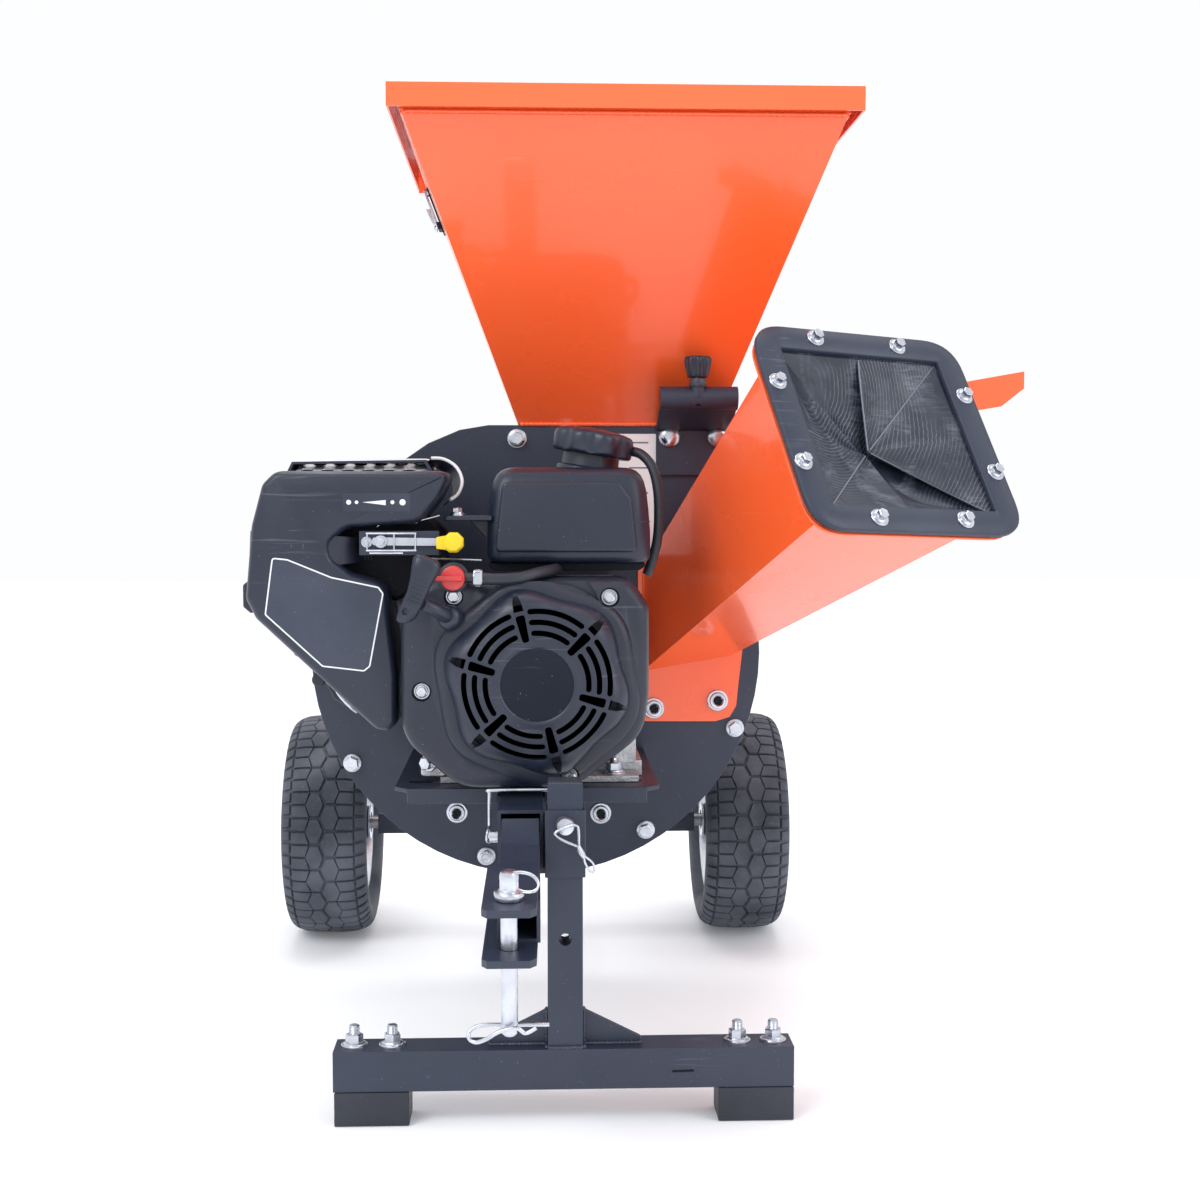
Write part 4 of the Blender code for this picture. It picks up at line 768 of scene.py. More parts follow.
def intake():
    """The air cleaner with its cover, and the heat shield beside it."""
    cover = Shape()
    cover.tapered(round_corners(COVER, COVER_ROUND, 5),
                  ((0.0, 0.1652), (0.0, 0.236), (0.0004, 0.245), (0.0014, 0.2482), (0.0028, 0.2502),
                   (0.0044, 0.2515), (0.0058, 0.252)), FRONT)
    cover.piece("air_cleaner_moulding", "plastic", angle=60, replaces=["air_cleaner_cover"])

    inner = Shape()
    panel = round_corners([(-0.196, 0.516), (-0.1, 0.52), (-0.083, 0.505), (-0.083, 0.47), (-0.128, 0.44),
                           (-0.196, 0.455)], 0.012, 4)
    inner.tapered(panel, ((0.0, 0.17), (0.0, 0.205), (0.004, 0.209)), FRONT)
    inner.piece("intake_back_panel", "deep", angle=40)
    scoop = Shape()
    rings = []
    for k in range(7):
        t = k / 6
        x = -0.188 + 0.03 * math.sin(t * math.pi / 2)
        y = -0.249 + 0.04 * (1 - math.cos(t * math.pi / 2))
        half = 0.0135 * (1 - 0.25 * t)
        rings.append([Vector((x - 0.004, y + 0.004, 0.4885 - half)), Vector((x, y, 0.4885 - half)),
                      Vector((x, y, 0.4885 + half)), Vector((x - 0.004, y + 0.004, 0.4885 + half))])
    scoop.skin(rings)
    for k in range(4):
        x = -0.16 + 0.0028 * k
        scoop.tube([(x, -0.22, 0.479), (x, -0.2225, 0.4885), (x, -0.22, 0.498)], 0.001, 8)
    scoop.piece("intake_scoop", "shroud", angle=40)

    plate = round_corners([(-0.237, 0.4825), (-0.223, 0.481), (-0.184, 0.465), (-0.142, 0.456),
                           (-0.1375, 0.45), (-0.15, 0.384), (-0.1555, 0.3795), (-0.193, 0.384),
                           (-0.244, 0.431)], 0.0035, 4)
    shine = Shape().prism(inset(plate, 0.0006), 0.2517, 0.2523, FRONT)
    shine.piece("cover_plate_blank", "decal")
    edge = Shape()
    within = inset(plate, 0.0013)
    edge.levels(((plate, 0.2518), (plate, 0.2527), (within, 0.2527), (within, 0.2518)), FRONT, ring=True)
    edge.piece("cover_plate_outline", "print_and_highlight_white")

    strip = Shape().prism(round_corners([(-0.1735, 0.54), (-0.1735, 0.5235), (-0.113, 0.5235), (-0.113, 0.54)],
                                        0.0012, 3), 0.2515, 0.2524, FRONT)
    strip.piece("control_strip", "decal")
    marks = Shape()
    marks.prism([(-0.156, 0.5318), (-0.135, 0.5292), (-0.135, 0.5338)], 0.252, 0.2527, FRONT)
    for x, r in ((-0.168, 0.0022), (-0.161, 0.0016), (-0.129, 0.0018), (-0.12, 0.0028)):
        marks.prism([p + Vector((x, 0.5318)) for p in circle(r, 16)], 0.252, 0.2527, FRONT)
    marks.piece("control_strip_marks", "print_and_highlight_white")

    # Near-black flats on the cover's top: painted shade in its vent slots.
    slots = Shape()
    for k in range(7):
        x = -0.213 + 0.018 * k
        slots.levels([(rounded_box(x, x + 0.0105, -0.0026, 0.0026, 0.0022, 3),
                       h) for h in (0.0, 0.0006)], Matrix.Translation((0, -0.225, 0.5598)))
    slots.piece("cover_top_slot_shade", "deep")

    ridge = Shape()
    side = [(-0.2545, 0.515), (-0.2615, 0.505), (-0.264, 0.46), (-0.269, 0.456), (-0.269, 0.436), (-0.262, 0.43),
            (-0.256, 0.432), (-0.2565, 0.5)]
    ridge.levels([(side, 0.175), (side, 0.218), (inset([Vector(p) for p in side], 0.001), 0.2195)], FRONT)
    low = [(-0.206, 0.383), (-0.196, 0.3735), (-0.186, 0.352), (-0.162, 0.338), (-0.16, 0.345), (-0.176, 0.36),
           (-0.19, 0.384)]
    ridge.levels([(low, 0.185), (low, 0.228)], FRONT)
    ridge.piece("air_cleaner_base", "shroud", bevel=0.0012)
    latch = Shape()
    latch.turned([(0.0, 0.0), (0.0062, 0.0), (0.0062, 0.018), (0.005, 0.0195), (0.0, 0.0195)],
                 frame_on((-0.199, -0.215, 0.37), (0, -1, 0)), 20)
    latch.piece("air_cleaner_latch", "shroud")
    clip = Shape()
    clip.bent([(-0.187, -0.231, 0.368), (-0.18, -0.233, 0.356), (-0.171, -0.233, 0.346),
               (-0.165, -0.229, 0.34)], 6, 0.0016, 10)
    clip.piece("air_cleaner_wire", "zinc")

    sheet = Shape()
    line = smooth_path([(-0.1, -0.159, 0.5735), (-0.088, -0.16, 0.5725), (-0.076, -0.165, 0.565),
                        (-0.07, -0.176, 0.552), (-0.073, -0.19, 0.54), (-0.08, -0.2, 0.534)], 6)
    sheet.tube(line, 0.0016, 10)
    # The shield's rolled edge is drawn pale white: a painted highlight on its metal.
    sheet.piece("heat_shield_edge", "print_and_highlight_white", slot="zinc")
    shield = Shape()
    across = ((0, 0, 0), (0.0004, 0.01, 0.001), (-0.01, 0.034, -0.006), (-0.0104, 0.034, -0.0075))
    shield.skin([[p + Vector(step) for step in across] for p in line])
    shield.piece("heat_shield", "coat")


intake()


def guard_hood():
    """The perforated sheet that rises from the cover's top to the muffler guard."""
    line = [(-0.17, 0.5604), (-0.156, 0.5622), (-0.14, 0.566), (-0.124, 0.5706), (-0.108, 0.5742)]
    section = ((-0.233, -0.008), (-0.229, -0.001), (-0.224, 0.0), (-0.108, 0.0), (-0.102, -0.001),
               (-0.098, -0.008), (-0.0992, -0.008), (-0.1026, -0.0022), (-0.108, -0.0012), (-0.224, -0.0012),
               (-0.2284, -0.0022), (-0.2318, -0.008))
    sheet = Shape()
    sheet.skin([[Vector((x, y, z + down)) for x, down in section] for y, z in line])
    slots = Shape()
    for row, y in enumerate((-0.156, -0.13)):
        for k in range(6):
            x = -0.218 + 0.0195 * k + 0.0095 * row
            slots.prism(rounded_box(x - 0.0062, x + 0.0062, y - 0.0068, y + 0.0068, 0.0045, 4), 0.54, 0.59)
    sheet.piece("guard_hood", "guard", angle=40, cut=slots.cutter())
    # A near-black sheet under the hood: painted shade seen through its slots.
    under = Shape()
    shade_section = ((-0.226, -0.0045), (-0.105, -0.0045), (-0.105, -0.006), (-0.226, -0.006))
    under.skin([[Vector((x, y, z + down)) for x, down in shade_section] for y, z in line])
    under.piece("guard_hood_shade_sheet", "deep", slot="black_coat")


guard_hood()


# ---- fuel tank, cap and hoses
def tank_outline(by):
    """The fuel tank seen from above, drawn in by a distance."""
    return rounded_box(-0.0455 + by, 0.105 - by, -0.236 + by, -0.09 - by, max(0.004, 0.02 - by * 0.4), 7)


def fuel():
    """The fuel tank, its cap, its two hoses and the clamp."""
    tank = Shape()
    tank.levels([(tank_outline(d), z) for d, z in
                 ((0.007, 0.4762), (0.003, 0.4772), (0.001, 0.4795), (0.0, 0.483), (0.0002, 0.505),
                  (0.0016, 0.525), (0.0036, 0.542), (0.0058, 0.551), (0.0088, 0.557), (0.013, 0.561),
                  (0.019, 0.5634), (0.026, 0.564))], Matrix())
    low, high = Vector((0.048, -0.17, 0.552)), Vector((0.0522, -0.17, 0.576))
    place = frame_on(low, high - low, (0, 1, 0))
    tank.turned([(0.031, 0.004), (0.031, 0.0105), (0.03, 0.012), (0.0275, 0.013), (0.027, 0.02),
                 (0.0268, 0.024), (0.022, 0.024), (0.022, 0.004)], place, 48, ring=True)
    face = round_corners([(-0.031, 0.55), (0.076, 0.549), (0.087, 0.534), (0.092, 0.486), (-0.038, 0.486)],
                         0.006, 5)
    lean = Matrix.Translation((0, -0.23, 0.52)) @ Matrix.Rotation(math.radians(-3.2), 4, "X") \
        @ Matrix.Translation((0, 0, -0.52))
    tank.tapered(face, ((0.0, 0.0), (0.0, 0.0052), (0.0012, 0.0062), (0.003, 0.0066)), lean @ FRONT)
    tank.piece("fuel_tank_moulding", "plastic", angle=50, replaces=["fuel_tank"])
    seam = Shape()
    seam.tube([Vector((p.x, p.y, 0.514)) for p in tank_outline(0.0006)], 0.0006, 6, ring=True)
    seam.piece("fuel_tank_parting_line", "plastic")
    tab = Shape()
    tab.levels([(rounded_box(-0.084, -0.04, -0.234, -0.195, 0.004, 3), z) for z in (0.515, 0.5195)], Matrix())
    tab.prism([(-0.062, 0.515), (-0.044, 0.515), (-0.044, 0.496)], 0.208, 0.212, FRONT)
    tab.piece("tank_tab", "plastic", bevel=0.001)
    bolt = Shape().bolt((-0.0725, -0.224, 0.5195), (0, 0, 1), 0.008, 0.007, 0.004, flange=True)
    bolt.piece("tank_bolt", "zinc")
    strap = Shape()
    strap.prism([(-0.044, 0.4762), (0.1, 0.4762), (0.1, 0.4728), (0.094, 0.469), (-0.038, 0.469),
                 (-0.044, 0.4728)], 0.1, 0.224, FRONT)
    strap.piece("tank_saddle", "deep", bevel=0.0008)

    cap = Shape()
    place = frame_on(high + (high - low).normalized() * 0.0004, high - low, (0, 1, 0))
    cap.levels([(fluted(size, depth, 0.5, 1.6, 128), h) for size, depth, h in
                ((0.0355, 0.02, 0.0002), (0.038, 0.08, 0.001), (0.0392, 0.105, 0.0028), (0.0395, 0.11, 0.015),
                 (0.0388, 0.105, 0.018), (0.037, 0.085, 0.0202), (0.0335, 0.04, 0.0216), (0.029, 0.01, 0.0228),
                 (0.02, 0.0, 0.0242), (0.01, 0.0, 0.025), (0.001, 0.0, 0.0252))], place)
    cap.piece("fuel_cap_fluted", "plastic", "fuel_cap", angle=60, replaces=["fuel_cap"])

    hose = Shape()
    hose.bent([(-0.054, -0.28, 0.4652), (-0.035, -0.2795, 0.464), (-0.015, -0.276, 0.465),
               (0.003, -0.265, 0.469), (0.015, -0.248, 0.4705), (0.019, -0.225, 0.4706),
               (0.019, -0.215, 0.4706)], 8, 0.0054, 18)
    hose.piece("fuel_hose_bent", "rubber", angle=60, replaces=["fuel_hose"])
    vent = Shape()
    vent.bent([(0.088, -0.178, 0.58), (0.0985, -0.186, 0.5765), (0.108, -0.193, 0.565),
               (0.113, -0.198, 0.545), (0.114, -0.202, 0.52), (0.112, -0.206, 0.495),
               (0.105, -0.206, 0.47), (0.102, -0.206, 0.464)], 8, 0.0046, 18)
    vent.piece("vent_hose_bent", "rubber", angle=60, replaces=["vent_hose"])
    clamp = Shape()
    place = frame_on((-0.056, -0.28, 0.4652), (1, 0, 0), (0, -1, 0))
    clamp.turned([(0.0054, 0.0), (0.0072, 0.0), (0.0074, 0.0006), (0.0074, 0.0074), (0.0072, 0.008),
                  (0.0054, 0.008)], place, 28, ring=True)
    for k in range(9):
        a = math.radians(160 - 17 * k)
        out = (place.to_3x3() @ polar(1.0, a, 0)).normalized()
        clamp.prism(box_outline(0.0022, 0.0006), 0.0, 0.0012,
                    frame_on(place @ polar(0.007, a, 0.004), out, (1, 0, 0)) @ Matrix.Rotation(math.pi / 2, 4, "Z"))
    clamp.prism(box_outline(0.0052, 0.0034), 0.0, 0.005,
                frame_on(place @ Vector((0, 0.0068, 0.004)), place.to_3x3() @ Vector((0, 1, 0)), (1, 0, 0)))
    clamp.piece("hose_clamp", "zinc", bevel=0.0002)


fuel()


# ---- engine controls
def controls():
    """Throttle, fuel valve and recoil grip."""
    arm = Shape()
    arm.prism(round_corners([(-0.148, 0.493), (-0.086, 0.4925), (-0.086, 0.4995), (-0.148, 0.5005)], 0.003, 3),
              0.2458, 0.2474, FRONT)
    arm.bolt((-0.14, -0.2474, 0.4965), (0, -1, 0), 0.007, 0.006, 0.003)
    arm.piece("throttle_arm", "zinc", "throttle_lever", bevel=0.0002, replaces=["throttle_lever"])
    tip = Shape()
    head = [p + Vector((-0.0748, 0.4957)) for p in circle(0.0098, 8, TAU / 16)]
    stub = [(-0.09, 0.49), (-0.072, 0.488), (-0.072, 0.5035), (-0.09, 0.5005)]
    tip.tapered(head, ((0.0, 0.2446), (0.0, 0.255), (0.002, 0.257)), FRONT)
    tip.prism(stub, 0.2448, 0.2545, FRONT)
    tip.piece("throttle_tip", "yellow", "throttle_lever", bevel=0.0006)

    works = Shape()
    ahead = -0.2512   # in front of the arm, and clear of the coloured tip's sweep
    for z, x0, x1 in ((0.504, -0.153, -0.108), (0.4885, -0.153, -0.108), (0.4862, -0.15, -0.12)):
        works.tube([(x0, ahead, z), (x1, ahead, z)], 0.0009, 8)
    for x in (-0.152, -0.128, -0.109):
        works.tube([(x, ahead, 0.5045), (x, ahead, 0.488)], 0.0008, 8)
    works.bolt((-0.153, -0.244, 0.496), (0, -1, 0), 0.006, 0.0052, 0.004)
    coil = [Vector((-0.133 + 0.0009 * k / 6, -0.242 + 0.0024 * math.cos(TAU * k / 8),
                    0.515 + 0.0024 * math.sin(TAU * k / 8))) for k in range(170)]
    works.tube(coil, 0.00055, 6)
    works.tube([(-0.1355, -0.242, 0.515), (-0.144, -0.242, 0.51)], 0.0006, 6)
    works.bent([(-0.107, -0.242, 0.515), (-0.095, -0.24, 0.518), (-0.088, -0.237, 0.52)], 5, 0.0006, 6)
    works.tube([(-0.106, -0.24, 0.4812), (-0.05, -0.237, 0.479)], 0.0012, 8)
    works.piece("throttle_links", "zinc")

    place = frame_on((-0.074, -0.2724, 0.465), (0, -1, 0))
    valve = Shape()
    valve.turned([(0.0, 0.0), (0.0092, 0.0), (0.01, 0.001), (0.0108, 0.003), (0.0108, 0.0118), (0.0102, 0.0132),
                  (0.0088, 0.0138), (0.0, 0.014)], place, 48)
    bar = round_corners([(-0.0945, 0.463), (-0.065, 0.4624), (-0.065, 0.4676), (-0.0945, 0.4668)], 0.0012, 3)
    valve.tapered(bar, ((0.0, 0.284), (0.0, 0.2892), (0.0008, 0.2902)), FRONT)
    valve.piece("fuel_valve_knob", "red", "fuel_valve_lever", angle=40, replaces=["fuel_valve_lever"])
    seat = Shape()
    seat.turned([(0.0, 0.266), (0.0135, 0.266), (0.0135, 0.2712), (0.0125, 0.272), (0.0, 0.272)],
                facing(-0.074, 0.465), 32)
    seat.tube([(-0.066, -0.277, 0.4652), (-0.053, -0.279, 0.4652)], 0.0046, 14)
    seat.piece("fuel_valve_seat", "shroud", angle=40)

    grip = Shape()
    top, low = Vector((-0.093, -0.308, 0.4845)), Vector((-0.1155, -0.308, 0.427))
    along = (low - top)
    across = Vector((-along.z, 0, along.x)).normalized()
    rings = []
    for t, wide, thick, bow in ((0.0, 0.007, 0.003, 0.0), (0.03, 0.011, 0.0058, 0.0), (0.08, 0.0126, 0.0072, 0.0),
                                (0.2, 0.012, 0.0076, 0.0004), (0.38, 0.0098, 0.0074, 0.001),
                                (0.55, 0.0088, 0.007, 0.0014), (0.72, 0.0086, 0.0066, 0.0008),
                                (0.86, 0.0084, 0.0058, 0.0), (0.94, 0.0066, 0.0048, -0.001),
                                (0.985, 0.0044, 0.0036, -0.0024), (1.0, 0.0022, 0.0022, -0.003)):
        centre = top + along * t + across * bow
        ring = []
        for k in range(28):
            a = TAU * k / 28
            c, s = math.cos(a), math.sin(a)
            ring.append(centre + across * wide * math.copysign(abs(c) ** 0.75, c)
                        + Vector((0, 1, 0)) * thick * math.copysign(abs(s) ** 0.75, s))
        rings.append(ring)
    grip.skin(rings)
    hole = Shape()
    hole.turned([(0.0028, 0.29), (0.0028, 0.33)], facing(-0.1135, 0.4378), 16)
    grip.piece("recoil_grip", "plastic", "recoil_handle", angle=50, replaces=["recoil_handle"], cut=hole.cutter())
    ribs = Shape()
    for t in (0.3, 0.36, 0.42, 0.48, 0.54, 0.6, 0.66):
        centre = top + along * t + across * 0.001
        ribs.tube([centre - across * 0.0062 - Vector((0, 0.0068, 0)), centre - Vector((0, 0.0074, 0)),
                   centre + across * 0.0062 - Vector((0, 0.0068, 0))], 0.0006, 6)
    ribs.piece("recoil_grip_ribs", "plastic", "recoil_handle")
    guide = Shape()
    guide.bent([(-0.0985, -0.2985, 0.4425), (-0.09, -0.295, 0.4385), (-0.081, -0.286, 0.433),
                (-0.0745, -0.274, 0.429)], 6, [0.0048 + 0.0002 * k for k in range(19)], 18)
    guide.turned([(0.0, 0.0), (0.011, 0.0), (0.0112, 0.01), (0.0098, 0.015), (0.006, 0.0178), (0.0, 0.0184)],
                 frame_on((-0.0755, -0.27, 0.429), (-0.15, -1, 0.1)), 28)
    guide.piece("recoil_rope_guide", "plastic", angle=50)


controls()


# ---- chute mouth
CHUTE_C = Vector((0.3145, -0.2697, 0.5972))
CHUTE_N = Vector((0.3503, -0.752, 0.5584)).normalized()
CHUTE_U = Vector((0.9162, 0.399, -0.0373)).normalized()
CHUTE_V = CHUTE_N.cross(CHUTE_U)
MOUTH = Matrix.Translation(CHUTE_C) @ Matrix((CHUTE_U, CHUTE_V, CHUTE_N)).transposed().to_4x4()
HALF_U, HALF_V = 0.0866, 0.0844
RING_BOLTS = [(-0.046, -0.098), (0.044, -0.097), (0.101, -0.044), (0.102, 0.042), (0.047, 0.096), (-0.045, 0.097),
              (-0.104, 0.042), (-0.103, -0.044)]


# How much each half flap bows inwards along its first and last edge.
RIMS = [(0.0, 0.0), (0.0, 0.0), (0.006, 0.0), (0.0, 0.0), (0.001, 0.0), (0.0, 0.001), (0.0, 0.008), (-0.001, 0.0)]
# How deep the point of each flap hangs behind the clamp ring.
TIPS = [0.03, 0.0305, 0.04, 0.0385, 0.0345, 0.035, 0.04, 0.03]


def mouth(u, v, n):
    """A point by its place across, up and out of the chute's mouth."""
    return MOUTH @ Vector((u, v, n))


def chute():
    """The clamp ring of the chipper chute, the slit rubber behind it and the ring's bolts."""
    outer = round_corners(box_outline(0.113, 0.1095), 0.036, 10)
    inner = round_corners(box_outline(HALF_U, HALF_V), 0.002, 10)
    ring = Shape()
    ring.levels(((outer, -0.0047), (outer, -0.0009), (inset(outer, 0.0009), 0.0), (inset(inner, -0.0008), 0.0),
                 (inner, -0.0008), (inner, -0.0047)), MOUTH, ring=True)
    ring.piece("chute_clamp_plate", "coat", angle=50, replaces=["chute_clamp_ring"])

    flaps = Shape()
    rim_out = round_corners(box_outline(0.1085, 0.1055), 0.034, 10)
    rim_in = round_corners(box_outline(HALF_U - 0.001, HALF_V - 0.001), 0.002, 10)
    flaps.levels(((rim_out, -0.0106), (rim_out, -0.0052), (rim_in, -0.0052), (rim_in, -0.0106)), MOUTH, ring=True)
    corners = [(1, 0), (1, 1), (0, 1), (-1, 1), (-1, 0), (-1, -1), (0, -1), (1, -1)]
    steps, columns, thick = 10, 6, 0.0024
    for i, (a, (bow_a, bow_b), tip) in enumerate(zip(corners, RIMS, TIPS)):
        b = corners[(i + 1) % 8]
        loops = []
        for s in range(steps + 1):
            t = min(0.995, s / steps)
            row = []
            for q in (k / columns for k in range(columns + 1)):
                bow = (bow_a + (bow_b - bow_a) * q) * math.sin(math.pi * min(1, t * 1.02))
                sag = 0.003 * math.sin(math.pi * t) * math.sin(math.pi * q)
                u, v = ((a[k] + (b[k] - a[k]) * q) * half * (1 - t) for k, half in ((0, HALF_U), (1, HALF_V)))
                row.append((u, v, -0.006 - tip * t ** 0.92 - bow - sag))
            loops.append([mouth(*p) for p in row] + [mouth(u, v, n - thick) for u, v, n in reversed(row)])
        flaps.skin(loops)
    back = [[mouth(u * HALF_U * (1 - t), v * HALF_V * (1 - t), -0.011 - 0.042 * t) for u, v in corners]
            for t in (0.0, 0.35, 0.7, 0.97)]
    flaps.skin(back + [[p - CHUTE_N * 0.0015 for p in line] for line in reversed(back)], ring=True)
    flaps.piece("chute_flap_star", "flap", angle=45, replaces=["chute_flaps_inner", "chute_flaps_outer"])
    # Pale lines along some flap edges: painted highlights on the slit edges of the rubber.
    painted_highlights = Shape()
    for i, radius in ((0, 0.0007), (4, 0.0007), (1, 0.0008), (3, 0.0004), (7, 0.0005)):
        b = corners[min(i + 1, 7)]
        line = [mouth(b[0] * HALF_U * (1 - t), b[1] * HALF_V * (1 - t), -0.0058 - TIPS[i] * t ** 0.92)
                for t in (0.02 + 0.96 * k / 12 for k in range(13))]
        painted_highlights.tube(line, radius, 6)
    painted_highlights.piece("chute_flap_edges", "flap_edge_highlight")
    bolts = Shape()
    for u, v in RING_BOLTS:
        bolts.bolt(mouth(u, -v, 0.0), CHUTE_N, 0.0088, 0.0086, 0.0058, flange=True)
    bolts.piece("chute_ring_bolts", "zinc")


chute()


# ---- knob, hopper and housing trim
def knob():
    """The fluted knob that holds the hopper, with its screw and boss."""
    place = Matrix.Translation((0.164, -0.062, 0.0))
    turn = Shape()
    turn.levels([(fluted(size, depth, math.pi, 2, 96), z) for size, depth, z in
                 ((0.01, 0.04, 0.6576), (0.0108, 0.06, 0.6584), (0.0112, 0.1, 0.662), (0.013, 0.15, 0.668),
                  (0.0137, 0.17, 0.672), (0.0137, 0.16, 0.676), (0.013, 0.1, 0.678), (0.0112, 0.03, 0.6788),
                  (0.006, 0.0, 0.6792))], place)
    turn.piece("hopper_knob_fluted", "plastic", "hopper_knob", angle=60, replaces=["hopper_knob"])
    bolt = Shape()
    profile = [(0.0, 0.636)]
    for k in range(18):
        profile += [(0.0034, 0.6365 + 0.0012 * k), (0.004, 0.6371 + 0.0012 * k)]
    bolt.turned(profile + [(0.0, 0.6585)], place, 16)
    bolt.piece("hopper_knob_screw", "zinc", "hopper_knob")
    boss = Shape()
    boss.turned([(0.0043, 0.648), (0.0082, 0.648), (0.0086, 0.6488), (0.0086, 0.6555), (0.008, 0.6564),
                 (0.0043, 0.6564)], place, 32, ring=True)
    boss.weld((0.1275, -0.0035, 0.6115), (0.2035, -0.0035, 0.6115), 0.0026)
    boss.weld((0.1275, -0.048, 0.627), (0.2035, -0.048, 0.627), 0.0016)
    boss.piece("knob_boss_and_welds", "weld")


def socket_bolt(shape, shade_shape, x, y, z):
    """A washer and a flange nut; the stud's end in its bore is drawn near-black, as painted shade."""
    place = facing(x, z, -y)
    shape.turned([(0.004, 0.0), (0.0112, 0.0), (0.0112, 0.0012), (0.0106, 0.0018), (0.004, 0.0018)], place, 32,
                 ring=True)
    shape.turned([(0.0045, 0.0018), (0.0088, 0.0018), (0.0088, 0.0042), (0.008, 0.0058), (0.0062, 0.006),
                  (0.0052, 0.0052), (0.0045, 0.0044)], place, 32, ring=True)
    shade_shape.turned([(0.0, 0.001), (0.0047, 0.001), (0.0047, 0.005), (0.003, 0.0052), (0.0, 0.004)], place, 6)


def housing_trim():
    """The housing's bolts and its blank label."""
    bolts, bore_shade = Shape(), Shape()
    low_row = ((-0.195, 0.256), (-0.054, 0.155), (0.116, 0.182), (0.211, 0.291))
    for x, z in low_row:
        bolts.bolt((x, -0.0002, z), (0, -1, 0), 0.0135, 0.0098, 0.0072, flange=True)
    for x, z in ((-0.085, 0.202), (0.068, 0.2)):
        socket_bolt(bolts, bore_shade, x, -0.0002, z)
    for x, z in ((0.192, 0.321), (0.124, 0.313)):
        socket_bolt(bolts, bore_shade, x, -0.0046, z)
    for x, z in ((0.14, 0.6), (0.191, 0.6)):
        place = facing(x, z, 0.006)
        bolts.turned([(0.0, 0.0), (0.0112, 0.0), (0.0114, 0.0006), (0.0106, 0.002), (0.0085, 0.004),
                      (0.0055, 0.0052), (0.003, 0.0054), (0.0, 0.0054)], place, 36)
    for x, z in ((0.031, 0.602), (-0.158, 0.52), (-0.02, 0.598)):
        bolts.bolt((x, -0.0002, z), (0, -1, 0), 0.0125, 0.01, 0.0068, flange=True)
    rear = PLATE[0].y - SHIFT.y + HOUSING_DEPTH
    for x, z in ((-0.195, 0.256), (-0.085, 0.202), (-0.054, 0.155), (0.068, 0.2), (0.116, 0.182), (0.211, 0.291),
                 (0.031, 0.598), (-0.158, 0.52), (0.186, 0.59)):
        bolts.bolt((x, rear, z), (0, 1, 0), 0.0125, 0.01, 0.0078, flange=True, stud=0.004)
    bolts.piece("housing_bolts", "zinc")
    # The near-black ends in the nuts' bores are painted shade.
    bore_shade.piece("housing_nut_bore_shade", "deep", slot="black_coat")

    label = Shape()
    label.prism(rounded_box(0.034, 0.1265, 0.475, 0.603, 0.002, 3), 0.0002, 0.0006, FRONT)
    label.piece("rating_label_blank", "label")
    bars = Shape()
    for k in range(11):
        low = 0.593 - 0.0088 * k
        high = low + (0.0034 if k == 2 else 0.0016)
        end = 0.118 - 0.012 * ((k * 7) % 3)
        bars.prism([(0.098, low), (end, low), (end, high), (0.098, high)], 0.0005, 0.0008, FRONT)
    bars.piece("rating_label_bars", "ink")


